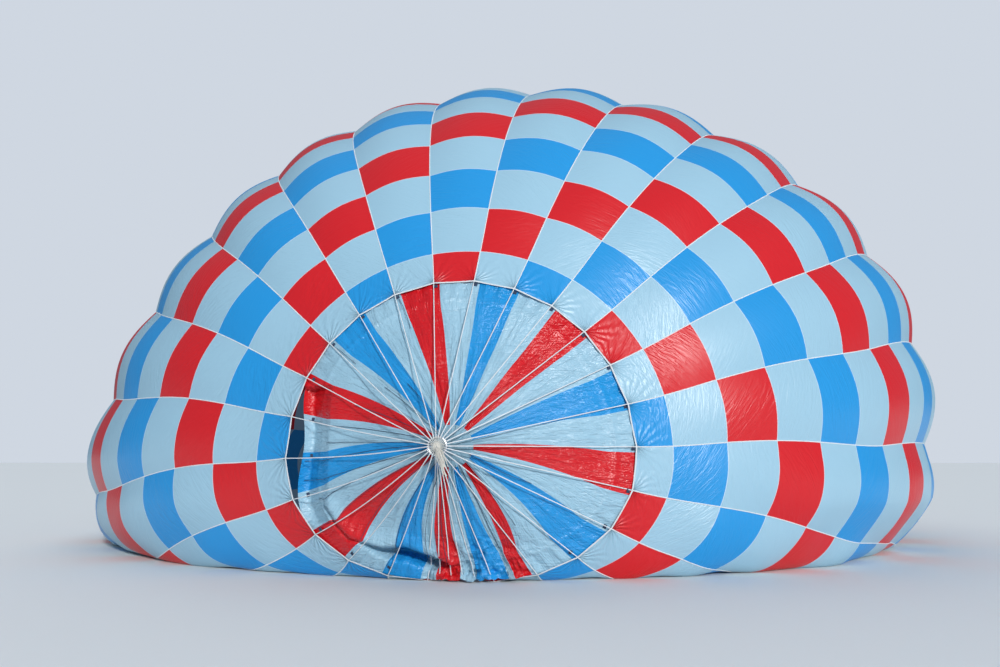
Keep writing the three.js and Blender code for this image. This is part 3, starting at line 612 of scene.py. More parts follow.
def add_ribbons(name, centres, normals, width, rise, finish, body="root", floor=0.001):
    """centres and normals are (ribbons, rows, 3). The ribbon's own sideways direction is square to its
    run and to its normal."""
    count, rows = centres.shape[:2]
    sideways = np.cross(np.gradient(centres, axis=1), normals)
    sideways /= np.linalg.norm(sideways, axis=-1, keepdims=True)
    lines = [centres + sideways * width * a + normals * rise * b for a, b in RIBBON_SECTION]
    points = np.stack(lines, 2)
    points[..., 2] = np.maximum(points[..., 2], floor)
    one = grid_faces(rows, len(lines))
    faces = one[None] + (np.arange(count) * rows * len(lines))[:, None, None]
    return add_mesh(name, points, [faces.reshape(-1, 4)], finish, body)


def webbing(name, colour):
    """Woven tape: a fine cross weave that only shows close by."""
    finish, tree, shader = new_finish(name, 0.8, base_color=colour)
    place = object_place(tree)
    weave = add_node(tree, "ShaderNodeTexWave", {"Vector": place, "Scale": 160.0}).outputs["Fac"]
    raise_surface(tree, shader, weave, 0.0006)
    return finish


white_tape = webbing("white_tape", (0.74, 0.77, 0.79, 1))
seams = np.arange(GORES) + 0.5
seam_lines, seam_normals = swollen(np.broadcast_to(seams, (len(cloth_rows), GORES)), cloth_rows)
seam_lines, seam_normals = seam_lines.transpose(1, 0, 2), seam_normals.transpose(1, 0, 2)
add_ribbons("load_tapes", seam_lines, seam_normals, TAPE_WIDTH, TAPE_RISE, white_tape)

# %% [markdown]
# The vent's edge
# A slightly broader tape is sewn round the hole, so that the cloth can't tear from there. It is the same
# ribbon, laid along the gores' first row.

# %% The tape round the vent's edge
EDGE_TAPE_WIDTH, EDGE_TAPE_RISE = 0.020, 0.005
EDGE_STEPS = 12  # points along one gore's end
edge_numbers = np.arange(GORES * EDGE_STEPS + 1) / EDGE_STEPS
edge_line, edge_normal = (a[0] for a in swollen(edge_numbers[None], np.array([0.0])))
edge_tape = add_ribbons("vent_edge_tape", edge_line[None], edge_normal[None], EDGE_TAPE_WIDTH,
                        EDGE_TAPE_RISE, white_tape)
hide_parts("crown_web")

# %% [markdown]
# The vent panel
# A round parachute of 28 sectors closes the hole from inside, pressed against the crown tapes once the
# air is hot. Here it is slack. Its edge laps behind the first panels, except on the left, where it has
# been pulled in and leaves a dark gap. A simulation would find folds of its own, not those of this one
# moment, so the panel is a surface from the middle to the edge with each kind of fold added on top.

# %% The panel before its folds
VENT_LAP, VENT_BELOW, VENT_FLOOR = 0.10, 0.022, 0.02
VENT_MIDDLE = APEX + (0.14, 0.12, 0.0)
VENT_ROWS, VENT_PER_GORE = 120, 20
GAP_MIDDLE, GAP_SPREAD, GAP_PULL = 21.8, 1.3, 0.135  # gores, gores, share of the radius
# where the seams meet the hole's edge: the sectors at the foot have slid together, numbers in gores
CUT_NUMBER = [0, 10.3, 10.63, 11.63, 12.63, 13.63, 14.63, 15.63, 18, 28]
HUNG_NUMBER = [0, 10.3, 10.63, 11.0, 11.12, 12.4, 13.7, 15.8, 18, 28]
ROUND_SLOPE = 0.40  # how steeply the middle of the panel leans back


def smooth_panel(number, share):
    """The panel before its folds: number is (columns) in gores, share (rows, columns) from the middle, 0,
    to the edge, 1. A seam starts out from the middle at an even angle and bends towards its place on the
    hole's edge. The second answer is how far out a point lies, as a share."""
    turn = 2 * np.pi * number / GORES
    even = VENT_RADIUS * np.stack([np.sin(turn), ROUND_SLOPE + 0 * turn, np.cos(turn)], -1)
    number = np.interp(number, CUT_NUMBER, HUNG_NUMBER)
    edge_z = smooth_grid(number[None], np.array([0.0]))[0][0, :, 2]
    lap = VENT_LAP * np.clip(edge_z / LIFT_HEIGHT, 0, 1)
    edge = smooth_grid(number[:, None], lap)[0][:, 0]
    edge = edge - outward_grid(number[:, None], lap)[:, 0] * VENT_BELOW
    edge[:, 2] = np.maximum(edge[:, 2], VENT_FLOOR)
    pull = GAP_PULL * np.exp(-(((number % GORES) - GAP_MIDDLE) / GAP_SPREAD) ** 2)
    reach = share * (1 - pull * share)
    bent = np.clip(share * 1.25, 0, 1)[..., None]
    return VENT_MIDDLE + reach[..., None] * ((edge - VENT_MIDDLE) * bent + even * (1 - bent)), reach


vent_columns = GORES * VENT_PER_GORE
vent_numbers = np.arange(vent_columns) / VENT_PER_GORE
vent_shares = np.linspace(0.004, 1, VENT_ROWS)
print("the panel's points:", VENT_ROWS, "rows of", vent_columns)

# %% [markdown]
# Pleats and hem
# Slack cloth hangs in pleats that run out from the middle. Even waves would look like a cake tin, so
# three sets of them are added up, and slow noise makes each set come and go.

# %% How far the pleats stand forward
PLEATS = ((33, 1), (61, 2), (102, 5))  # how many go round the panel, and a seed
PLEAT_DEEP = 0.008
PLEATED_LOW = 0.9  # how much deeper they are at the foot, where the sectors have slid together
HEM_AT, HEM_RIPPLES = 0.85, 75
HEM_RISE, HEM_WIDE = 0.012, 0.014


def pleated(p, turn, share):
    """How far forward the cloth stands: slow unevenness, three sets of waves round the panel that come
    and go, deeper towards the foot, then a rib at the hem and ripples beyond it."""
    forward = 0.018 * waves(p, 0.75, 3)
    gathered = 1 + PLEATED_LOW * np.clip(1 - p[..., 2] / APEX[2], 0, 1)
    for pleats, seed in PLEATS:
        strong = (0.5 + 0.5 * waves(p, 0.6, seed)) * gathered
        wave = np.sin(pleats * turn + 2.2 * share * seed)
        forward = forward + PLEAT_DEEP * (1.15 - share) * strong * wave
    past_hem = np.clip((share - HEM_AT) / (1 - HEM_AT), 0, 1)
    forward = forward - PLEAT_DEEP * past_hem
    forward = forward + HEM_RISE * np.exp(-((share - HEM_AT) / HEM_WIDE) ** 2)
    return forward + HEM_RISE * past_hem * np.sin(HEM_RIPPLES * turn) * (1 - past_hem) * 4


print("pleats round the panel:", [pleats for pleats, _ in PLEATS], "and", HEM_RIPPLES, "ripples at its hem")

# %% [markdown]
# The slid fold
# At the lower left the cloth has slid down over itself and lies in one long fold. Its line is drawn as a
# few straight parts. A groove just under the line and a lip just over it, both smooth in the distance
# from it, make the fold without cutting the surface.

# %% How far the slid cloth stands forward
FOLD_LINE = np.array([  # x, z
    (-1.66, 0.93), (-1.52, 0.72), (-1.35, 0.56), (-0.93, 0.44), (-0.62, 0.45), (-0.09, 0.27),
])
FOLD_DEEP, FOLD_WIDE, LIP_RISE = 0.17, 0.055, 0.045
TURNED_IN = dict(x=-1.63, low=0.70, high=2.45, slope=0.6)


def below_line(x, z, line):
    """How far a point lies below a line of several straight parts: the distance to the nearest part,
    negative above it. The second answer fades from 1 to 0 past the line's two ends."""
    a, b = line[:-1], line[1:]
    run = b - a
    px, pz = x[..., None] - a[:, 0], z[..., None] - a[:, 1]
    along = (px * run[:, 0] + pz * run[:, 1]) / (run ** 2).sum(1)
    held = np.clip(along, 0, 1)
    dx, dz = px - held * run[:, 0], pz - held * run[:, 1]
    distance = np.hypot(dx, dz)
    nearest = distance.argmin(-1)[..., None]
    side = np.take_along_axis(run[:, 0] * dz - run[:, 1] * dx, nearest, -1)[..., 0]
    distance = np.take_along_axis(distance, nearest, -1)[..., 0]
    past = np.maximum(np.maximum(-along[..., 0], 0), np.maximum(along[..., -1] - 1, 0))
    return -np.sign(side) * distance, np.exp(-((past * 1.2) ** 2))


def slid_down(x, z):
    """How far forward the slid cloth stands: a groove under the fold's line and a lip above it, each a
    bell curve of the distance. The fold is a mere crease on the left and gapes in the middle. Where the
    left edge has turned in, the cloth slopes back. The second answer is the lip."""
    d, along_fold = below_line(x, z, FOLD_LINE)
    opened = np.clip((x + 1.25) / 0.5, 0, 1) * np.clip(-x / 0.35, 0, 1)
    wide, deep = FOLD_WIDE * (0.6 + 0.9 * opened), FOLD_DEEP * (0.3 + 1.7 * opened)
    groove = np.exp(-((d - wide) / wide) ** 2) * along_fold
    lip = np.exp(-((d + FOLD_WIDE) / (1.6 * FOLD_WIDE)) ** 2) * along_fold
    turned_in = np.clip(TURNED_IN["x"] - x, 0, 1) * (z > TURNED_IN["low"]) * (z < TURNED_IN["high"])
    return LIP_RISE * lip - deep * groove - TURNED_IN["slope"] * turned_in, lip


fold_length = float(np.linalg.norm(np.diff(FOLD_LINE, axis=0), axis=1).sum())
print("the fold's length in metres:", round(fold_length, 2))

# %% [markdown]
# The crumpled foot
# Where the panel meets the ground its spare cloth has nowhere to go. It lies crumpled, and some of it
# spills forward over the hole's edge. All the folds are then added to the smooth panel, held down in its
# middle and at its rim, and nothing may pass below the ground.

# %% The panel with all its folds
FOOT = dict(x=0.30, half=0.80, height=0.60, spill=0.13, spill_height=0.16)
CRUMPLED_LOW, RAGGED = 1.0, 0.03  # deeper crumples near the ground, and how far the edge lifts there
FOLD_SINKS = 0.05


def vent_points(number, share):
    """The panel with its pleats, its slid fold, and a foot where it lies crumpled: soft waves less the
    size of sharper ones, so that ridges are round and valleys narrow. There it spills forward over the
    hole's edge."""
    p, reach = smooth_panel(number, share)
    x, z = p[..., 0].copy(), p[..., 2].copy()
    slid, lip = slid_down(x, z)
    forward = pleated(p, 2 * np.pi * number / GORES, share) + slid
    from_foot = np.abs(x - FOOT["x"]) / FOOT["half"]
    at_foot = np.sqrt(np.clip(1 - from_foot, 0, 1) * np.clip(1 - z / FOOT["height"], 0, 1))
    near_ground = np.exp(-(z / FOOT["spill_height"]) ** 2)
    crumples = 0.05 * waves(p, 0.22, 8)
    crumples = crumples - 0.045 * np.abs(waves(p, 0.12, 9)) - 0.02 * np.abs(waves(p, 0.06, 10))
    forward = forward + at_foot * (crumples * (1 + CRUMPLED_LOW * near_ground) + 0.04)
    spilt = np.clip(1.6 * (1 - from_foot), 0, 1) * near_ground
    held = np.clip(reach * 8, 0, 1) * np.clip((1.02 - share) * 12, 0, 1)
    p[..., 1] -= np.minimum(forward, 0.06 + 0.08 * spilt + 0.10 * at_foot) * held
    p[..., 1] -= spilt * (FOOT["spill"] + 0.03 * waves(p, 0.16, 12))
    p[..., 2] += spilt * RAGGED * np.clip(waves(p, 0.13, 14) + 0.3, 0, 1)
    p[..., 2] -= FOLD_SINKS * lip
    p[..., 2] = np.maximum(p[..., 2], VENT_FLOOR)
    return p


vent_surface = vent_points(vent_numbers, np.repeat(vent_shares[:, None], vent_columns, 1))
print("the panel reaches from", vent_surface.min((0, 1)).round(2), "to", vent_surface.max((0, 1)).round(2))

# %% [markdown]
# The vent's colours
# The panel's colours follow the same idea as the gores': whole numbers of sectors give the colour. The
# sectors stop short of the middle, where a round of light cloth is sewn on. Its sectors are cut to lie
# a little clockwise of the tapes. The cloth is crinkled finer than the gores: along the radius, on one
# slant across it, and in small grains.

# %% Cloth of the vent panel
SECTOR_OFFSET = 0.13  # of a gore, clockwise of the tapes
MIDDLE_ROUND = 0.27
VENT_CREASE_HEIGHT = 0.036


def vent_cloth():
    """Kind = (sector + 1) modulo 4. Height = 0.55 crinkles along the radius + 0.4 crossing ones + 0.2
    grains."""
    finish, tree, shader = new_finish("vent_cloth", 0.26)
    sector, radius = cut_place(tree)
    kind = maths(tree, "FLOORED_MODULO", maths(tree, "ADD", maths(tree, "FLOOR", sector), 1), 4)
    round_cloth = maths(tree, "LESS_THAN", radius, MIDDLE_ROUND)
    colour = blend_colours(tree, round_cloth, panel_colour(tree, kind), LIGHT_BLUE)
    wide = maths(tree, "MULTIPLY", sector, 4.0)
    vector = add_node(tree, "ShaderNodeCombineXYZ", {0: wide, 1: maths(tree, "MULTIPLY", radius, 1.5)})
    lines = ridges(tree, vector.outputs[0], 1.6, 3, 0.7)
    place = object_place(tree)
    slant = add_node(tree, "ShaderNodeMapping", {
        "Vector": place, "Rotation": (0, 0.7, 0), "Scale": (2.0, 2.0, 10.0)}).outputs[0]
    crossing = ridges(tree, slant, 1.6, 3, 0.8)
    fine = noise(tree, place, 26.0, 4, 0.8)
    height = maths(tree, "MULTIPLY_ADD", lines, 0.55, maths(tree, "MULTIPLY_ADD", crossing, 0.4, maths(
        tree, "MULTIPLY", fine, 0.2)))
    raise_surface(tree, shader, height, VENT_CREASE_HEIGHT)
    tree.links.new(colour, shader.inputs["Base Color"])
    let_light_through(tree, shader, colour)
    return finish


vent_finish = vent_cloth()
print("nodes in the vent's material:", len(vent_finish.node_tree.nodes))

# %% [markdown]
# The panel becomes a mesh
# Rows run round the panel and columns out from its middle, closed round the last column and by one small
# cap. The colours need the sector's number and the radius, so those two are its UV map.

# %% Hang the panel
# a corner's sector is counted on past the last column, so that the closing faces don't turn back
columns_u = np.arange(vent_columns + 1) / VENT_PER_GORE + 0.5 - SECTOR_OFFSET
rows_v = vent_shares * (VENT_RADIUS + VENT_LAP)
j, i = np.meshgrid(np.arange(VENT_ROWS - 1), np.arange(vent_columns), indexing="ij")
corner_u = np.stack([columns_u[i], columns_u[i + 1], columns_u[i + 1], columns_u[i]], -1).ravel()
corner_v = np.stack([rows_v[j], rows_v[j], rows_v[j + 1], rows_v[j + 1]], -1).ravel()
corner_uv = np.stack([corner_u, corner_v], -1)
cap_uv = np.zeros((vent_columns, 2))
vent_piece = add_mesh(
    "vent_cloth", vent_surface,
    [grid_faces(VENT_ROWS, vent_columns, around=True), np.arange(vent_columns)[None, ::-1]],
    vent_finish, "vent", uv=np.concatenate([corner_uv, cap_uv]))
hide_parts("vent_panel")

# %% [markdown]
# Loops round the crown ring
# Each crown tape ends in a loop sewn round the ring: it comes from behind, round the inside of the
# ring's tube and out over its front. The loop is part of a circle in the plane of the tape and the
# ring's axis.

# %% Points of the loops
CROWN_RADIUS, LOOP_RADIUS = 0.11, 0.016
LOOP_TURN = np.radians(np.linspace(320, 90, 12))  # round the ring's tube, 90 is its front
FRONT = np.array([0.0, -1.0, 0.0])
ends = edge_line[EDGE_STEPS // 2::EDGE_STEPS][:GORES]
radial = ends - APEX
radial[:, 1] = 0
radial /= np.linalg.norm(radial, axis=1, keepdims=True)
outwards = (radial[:, None] * np.cos(LOOP_TURN)[None, :, None]
            + FRONT * np.sin(LOOP_TURN)[None, :, None])
loops = (APEX + radial[:, None] * (CROWN_RADIUS + LOOP_RADIUS * np.cos(LOOP_TURN))[None, :, None]
         + FRONT * (LOOP_RADIUS * np.sin(LOOP_TURN))[None, :, None])
print("loops:", len(loops), "of", len(LOOP_TURN), "points")

# %% [markdown]
# Crown tapes
# From the vent's edge the load tapes run on across the hole to the ring. Those at the top and on the
# right are taut. Those low on the left are slack and hang a little, and those at the foot lie on the
# panel's cloth, which is found by looking for its nearest corners.

# %% The crown tapes
SLACK_TAPES, SLACK_SPREAD, SLACK_SAG = 19.0, 3.0, 0.07  # gores, gores, metres down
LOOSE_TAPES, LOOSE_SPREAD = 13.5, 3.1  # gores: those that lie on the cloth
ON_CLOTH, ON_EDGE = 0.008, 0.004
CROWN_TAPE_ROWS = 24
CROWN_TAPE_WIDTH, CROWN_TAPE_RISE = 0.012, 0.003


def cloth_front(points):
    """How far forward the vent's cloth reaches at each point's x and z: the least y of its nearest
    corners."""
    cloth = vent_surface.reshape(-1, 3)
    reach = []
    for x, _, z in points.reshape(-1, 3):
        apart = np.hypot(cloth[:, 0] - x, cloth[:, 2] - z)
        reach.append(cloth[np.argpartition(apart, 8)[:8], 1].min())
    return np.array(reach).reshape(points.shape[:-1])


t = np.linspace(0, 1, CROWN_TAPE_ROWS)[None, 1:, None]
slack = SLACK_SAG * np.exp(-((seams - SLACK_TAPES) / SLACK_SPREAD) ** 2)[:, None]
runs = loops[:, -1:] * (1 - t) + (ends + FRONT * ON_EDGE)[:, None] * t
runs[..., 2] -= slack * 4 * t[..., 0] * (1 - t[..., 0])
loose = np.abs(seams - LOOSE_TAPES) < LOOSE_SPREAD
lying = cloth_front(runs[loose]) - ON_CLOTH
lying[:, 1:-1] = (lying[:, :-2] + lying[:, 1:-1] + lying[:, 2:]) / 3
laid = np.clip(t[..., 0] * 5, 0, 1) * np.clip((1 - t[..., 0]) * 12, 0, 1)
runs[loose, :, 1] += (lying - runs[loose, :, 1]) * laid
run_normals = np.broadcast_to(outwards[:, -1:], runs.shape)
crown_lines = np.concatenate([loops, runs], 1)
crown_normals = np.concatenate([outwards, run_normals], 1)
crown_tapes = add_ribbons("crown_tapes", crown_lines, crown_normals, CROWN_TAPE_WIDTH, CROWN_TAPE_RISE,
                          white_tape)
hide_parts("crown_web")

# %% [markdown]
# The tapes' spare ends
# Past the ring a short length of each tape is left over. The ends hang in a bundle just under the ring,
# each bent a little differently. A seeded generator keeps them the same in every run.

# %% A bundle of tape ends under the crown ring
ENDS, ENDS_LENGTH, ENDS_WIDTH = 28, 0.36, 0.008
ENDS_SWING, ENDS_TWIST = 0.022, 0.5  # metres and radians, as a usual size
rng = np.random.default_rng(11)
f = np.linspace(0, 1, 26)[None, :]
start_angle = 2 * np.pi * np.arange(ENDS)[:, None] / ENDS
inwards = np.clip(f / 0.25, 0, 1)  # first across the ring's hole to its middle, then down
fall = np.clip((f - 0.2) / 0.8, 0, 1) ** 1.2
swing = rng.normal(0, ENDS_SWING, (ENDS, 1)) * np.sin(fall * rng.uniform(1.5, 4, (ENDS, 1)))
length = ENDS_LENGTH * rng.uniform(0.5, 1, (ENDS, 1))
radius = CROWN_RADIUS * (1 - 0.86 * inwards) * (1 - 0.5 * fall)
hang_x = radius * np.cos(start_angle) + swing + 0.10 * fall
hang_z = radius * np.sin(start_angle) - length * fall
hang_y = -0.012 - 0.02 * inwards - 0.03 * rng.uniform(0.2, 1, (ENDS, 1)) * np.sin(np.pi * fall)
hanging = APEX + np.stack([hang_x, hang_y, hang_z], -1)
twist = rng.normal(0, ENDS_TWIST, (ENDS, 1)) * fall
facing = np.stack([np.sin(twist), -np.cos(twist), 0 * twist], -1)
worn_tape = webbing("worn_tape", (0.70, 0.67, 0.60, 1))
add_ribbons("crown_tape_ends", hanging, facing, ENDS_WIDTH, CROWN_TAPE_RISE, worn_tape)

# %% [markdown]
# Lines on the panel
# Thin dark lines keep the parachute in the middle of the hole. They run from its rim towards the crown
# and lie in loose curves over the cloth. Each is a ribbon that follows the panel's own folds a little in
# front of them, and sags by a chance amount.

# %% Centring lines
LINES = np.array([  # gore number, start and end as shares of the radius
    (23.2, 0.08, 0.62), (22.5, 0.06, 0.97), (21.9, 0.07, 0.80), (21.4, 0.07, 0.98), (20.9, 0.06, 0.97),
    (20.3, 0.08, 0.86), (19.6, 0.07, 0.97), (18.7, 0.06, 0.80), (17.6, 0.07, 0.94), (16.4, 0.08, 0.90),
    (15.2, 0.08, 0.86), (24.4, 0.08, 0.50), (25.3, 0.10, 0.42), (12.2, 0.10, 0.75), (10.4, 0.10, 0.60),
    (8.6, 0.08, 0.45), (26.55, 0.72, 0.93), (24.5, 0.74, 0.95),
])
LINE_WIDTH, LINE_RISE, LINE_AHEAD = 0.006, 0.004, 0.016
LINE_BEND, LINE_DROOP = 0.05, 0.4  # metres, and a share of the bend
f = np.linspace(0, 1, 40)
line_share = LINES[:, 1] + (LINES[:, 2] - LINES[:, 1]) * f[:, None]
line_points = vent_points(LINES[:, 0], line_share).transpose(1, 0, 2) + FRONT * LINE_AHEAD
bend = np.sin(np.pi * f)[None] * rng.normal(0, LINE_BEND, (len(LINES), 1))
line_points[..., 2] += bend - np.abs(bend) * LINE_DROOP
dark_cord = webbing("dark_cord", (0.03, 0.05, 0.10, 1))
add_ribbons("vent_centring_lines", line_points, np.broadcast_to(FRONT, line_points.shape), LINE_WIDTH,
            LINE_RISE, dark_cord, body="vent")

# %% [markdown]
# Tabs
# A black tab is sewn to the panel's rim under each crown tape. It is a very short ribbon, laid a little
# beside the tape so that both show. Those at the foot are lost in the crumples.

# %% Tabs at the rim
TAB = (0.055, 0.045, 0.006)  # across, along the radius, thick
TAB_AT, TAB_ASIDE, TAB_AHEAD = 0.936, 0.03, 0.008  # share of the radius, gores, metres
tab_seams = seams[~loose] + TAB_ASIDE
tab_shares = np.stack([np.full(len(tab_seams), a) for a in (TAB_AT, TAB_AT + TAB[1] / VENT_RADIUS)])
tab_lines = vent_points(tab_seams, tab_shares).transpose(1, 0, 2) + FRONT * TAB_AHEAD
add_ribbons("vent_tabs", tab_lines, np.broadcast_to(FRONT, tab_lines.shape), TAB[0], TAB[2],
            dark_cord, body="vent")

# %% [markdown]
# Bars, rolls and tubes
# Most of what is left is one section carried along a line: the hem of the mouth, the leather rolls on the
# basket, the sleeves, the hoses. Blender's curves with a bevel could make them too, but with arrays a
# section may change on its way. Two directions square to the line say which way it faces. If the first
# crossed with the second gives the line's own direction, the faces look outwards.

# %% Helpers for sections along a line


def across_path(path, hint, closed):
    """Two directions square to the path: hint crossed with the run, and the run crossed with that."""
    if closed:
        run = np.roll(path, -1, 0) - np.roll(path, 1, 0)
    else:
        run = np.gradient(path, axis=0)
    run /= np.linalg.norm(run, axis=1, keepdims=True)
    first = np.cross(hint, run)
    first /= np.linalg.norm(first, axis=1, keepdims=True)
    return first, np.cross(run, first)


def sweep(path, section, hint=(0, 1, 0), closed=True):
    """Points and faces of a section, (sides, 2) or (rows, sides, 2), carried along a path, (rows, 3)."""
    path = np.asarray(path, float)
    first, second = across_path(path, np.asarray(hint, float), closed)
    section = np.broadcast_to(section, (len(path),) + np.shape(section)[-2:])
    points = path[:, None] + first[:, None] * section[..., :1] + second[:, None] * section[..., 1:]
    rows, sides = points.shape[:2]
    j, i = np.meshgrid(np.arange(rows if closed else rows - 1), np.arange(sides), indexing="ij")
    on, by = (j + 1) % rows, (i + 1) % sides
    around = np.stack([j * sides + i, j * sides + by, on * sides + by, on * sides + i], -1)
    faces = [around.reshape(-1, 4)]
    if not closed:
        end = np.arange(sides)
        faces += [end[None, ::-1], (end + (rows - 1) * sides)[None]]
    return points.reshape(-1, 3), faces


def oval(wide, high, sides=16, square=1.0):
    """A closed section. (cos(a), sin(a)) is raised to the power square, each sign kept, and stretched to
    wide and high: an ellipse with square 1, squarer with less."""
    a = np.linspace(0, 2 * np.pi, sides, endpoint=False)
    unit = np.stack([np.cos(a), np.sin(a)], -1)
    return np.sign(unit) * np.abs(unit) ** square * [wide / 2, high / 2]


def together(parts):
    """Several (points, faces) as one."""
    points, faces, start = [], [], 0
    for some, theirs in parts:
        points.append(some)
        faces += [f + start for f in theirs]
        start += len(some)
    return np.concatenate(points), faces


trial_points, _ = sweep([(0, 0, 0), (1, 0, 0)], oval(1, 1), closed=False)
print("points of a straight bar with 16 sides:", len(trial_points))

# %% [markdown]
# The mouth's hem
# The lower end of the envelope is its mouth. Its black cloth is rolled round a strip of webbing and sewn
# down. The hem is one small round section carried along the last row of the gores.

# %% The hem
HEM_THICK, HEM_LIFT = 0.022, 0.012
black_webbing = webbing("black_webbing", (0.015, 0.015, 0.017, 1))
hem_numbers = np.arange(GORES * 16) / 16
hem_line = swollen(hem_numbers[None], np.array([TAPE_LENGTH]))[0][0]
hem_line[:, 2] = np.maximum(hem_line[:, 2], HEM_LIFT)
hem = add_mesh("mouth_hem", *sweep(hem_line, oval(HEM_THICK, HEM_THICK, 10)), black_webbing)
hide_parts("mouth_band")

# %% [markdown]
# Wires, karabiners and rings
# From the hem thin steel wires run to four karabiners on the load frame. They are good as they are
# packed, as are the crown ring and the gimbal ring, and only need metal. Clean metal looks like plastic
# when its highlights are quite even, so a faint grain breaks them up.

# %% Metal finishes
CORNERS = ["upper_left", "upper_right", "lower_right", "lower_left"]


def paint(nodes, finish):
    """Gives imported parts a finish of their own. Their shape stays as it is."""
    for node in nodes:
        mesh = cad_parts[node].data
        mesh.materials.clear()
        mesh.materials.append(finish)
    print(f"{finish.name} on", ", ".join(nodes))


def metal(name, colour, roughness, grain=60.0, depth=0.0006):
    """Metal with a faint grain, so that its highlights aren't quite even."""
    finish, tree, shader = new_finish(name, roughness, metallic=1.0, base_color=colour)
    raise_surface(tree, shader, noise(tree, object_place(tree), grain, 3), depth)
    return finish


def wire_rope():
    """Steel strands laid round each other: slanted waves a few millimetres apart."""
    finish, tree, shader = new_finish("wire_rope", 0.35, metallic=1.0, base_color=(0.52, 0.53, 0.55, 1))
    slant = add_node(tree, "ShaderNodeMapping", {"Vector": object_place(tree), "Rotation": (0.6, 0.3, 0.5)})
    strands = add_node(tree, "ShaderNodeTexWave", {"Vector": slant.outputs[0], "Scale": 90.0})
    raise_surface(tree, shader, strands.outputs["Fac"], 0.001)
    return finish


satin_steel = metal("satin_steel", (0.56, 0.57, 0.58, 1), 0.34)
bright_alloy = metal("bright_alloy", (0.72, 0.73, 0.75, 1), 0.26)
paint([f"flying_wires_{c}" for c in CORNERS], wire_rope())
paint([f"karabiner_{c}" for c in CORNERS] + ["crown_ring"], bright_alloy)
paint(["gimbal_ring"], satin_steel)

# %% [markdown]
# The load frame
# The load frame is a square of bent steel tube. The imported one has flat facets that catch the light, so a
# rounder tube of the same size stands in its place. Its line is a rectangle with round corners, walked in
# even steps, which the basket's rim, binding and weave will need as well.

# %% The load frame's tube
AXIS_X, _, AXIS_Z = middle_of("load_frame")
FRAME_CORNER = 0.09


def rounded_loop(half_wide, half_high, corner, count):
    """Evenly spaced places round a rectangle with round corners: (count, 2), counterclockwise. They lie
    on four quarter circles and the straight lines between these, at equal shares of the whole length."""
    quarter_turn = np.linspace(0, np.pi / 2, 24)
    line = []
    for k, (a, b) in enumerate([(1, 1), (-1, 1), (-1, -1), (1, -1)]):
        turn = quarter_turn + k * np.pi / 2
        line.append(np.stack([a * (half_wide - corner) + corner * np.cos(turn),
                              b * (half_high - corner) + corner * np.sin(turn)], -1))
    line = np.concatenate(line + [line[0][:1]])
    reach = np.concatenate([[0], np.cumsum(np.hypot(*np.diff(line, axis=0).T))])
    at = np.linspace(0, reach[-1], count, endpoint=False)
    return np.stack([np.interp(at, reach, line[:, k]) for k in (0, 1)], -1)


def level_loop(half_x, half_z, corner, y, count):
    """The same loop round the basket's axis, as points in the frame."""
    x, z = rounded_loop(half_x, half_z, corner, count).T
    return np.stack([AXIS_X + x, np.full(count, y), AXIS_Z + z], -1)


frame_low, frame_high = box_of("load_frame")
frame_tube = frame_high[1] - frame_low[1]
pivot_y = (frame_low[1] + frame_high[1]) / 2
frame_half = (frame_high - frame_low)[[0, 2]] / 2 - frame_tube / 2
frame_line = level_loop(*frame_half, FRAME_CORNER - frame_tube / 2, pivot_y, 240)
load_frame = add_mesh("load_frame_tube", *sweep(frame_line, oval(frame_tube, frame_tube, 20)), satin_steel,
                      shift=False)
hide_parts("load_frame")

# %% [markdown]
# Locking sleeves
# A threaded sleeve locks each karabiner's gate. It is knurled for grip: every other ring of points is a
# little wider.

# %% A sleeve on each karabiner
SIDES = np.array([(-1, 1), (1, 1), (1, -1), (-1, -1)])  # which side each corner is on, along X and Z
SLEEVE_RADIUS, SLEEVE_LENGTH, BAR = 0.0095, 0.042, 0.012
KNURLS, KNURL_RISE = 13, 0.04


def inset_from(low, high, side, inset):
    """A place that far inside the box: from its high end where side is over 0, otherwise its low end."""
    return high - inset if side > 0 else low + inset


locks = []
for corner, (side, _) in zip(CORNERS, SIDES):
    low, high = box_of(f"karabiner_{corner}")
    at = (low + high) / 2
    at[0] = inset_from(low[0], high[0], side, BAR / 2)
    steps = np.linspace(-0.5, 0.5, KNURLS)
    line = at + np.stack([0 * steps, steps * SLEEVE_LENGTH, 0 * steps], -1)
    knurl = 1 + KNURL_RISE * (np.arange(KNURLS) % 2)
    ring = oval(2 * SLEEVE_RADIUS, 2 * SLEEVE_RADIUS, 14)[None] * knurl[:, None, None]
    locks.append(sweep(line, ring, (0, 0, 1), closed=False))
add_mesh("karabiner_sleeves", *together(locks), satin_steel, shift=False)

# %% [markdown]
# Heat on steel
# A flame tints steel straw and then blue, most of all at a can's open end. Such a change could be painted
# by hand. Here a colour ramp is read by how far a point lies along the can, made uneven by noise.

# %% Heated steel
HEAT_FROM, HEAT_TO = 0.1, 0.06  # metres in front of the can's back, and behind its open end


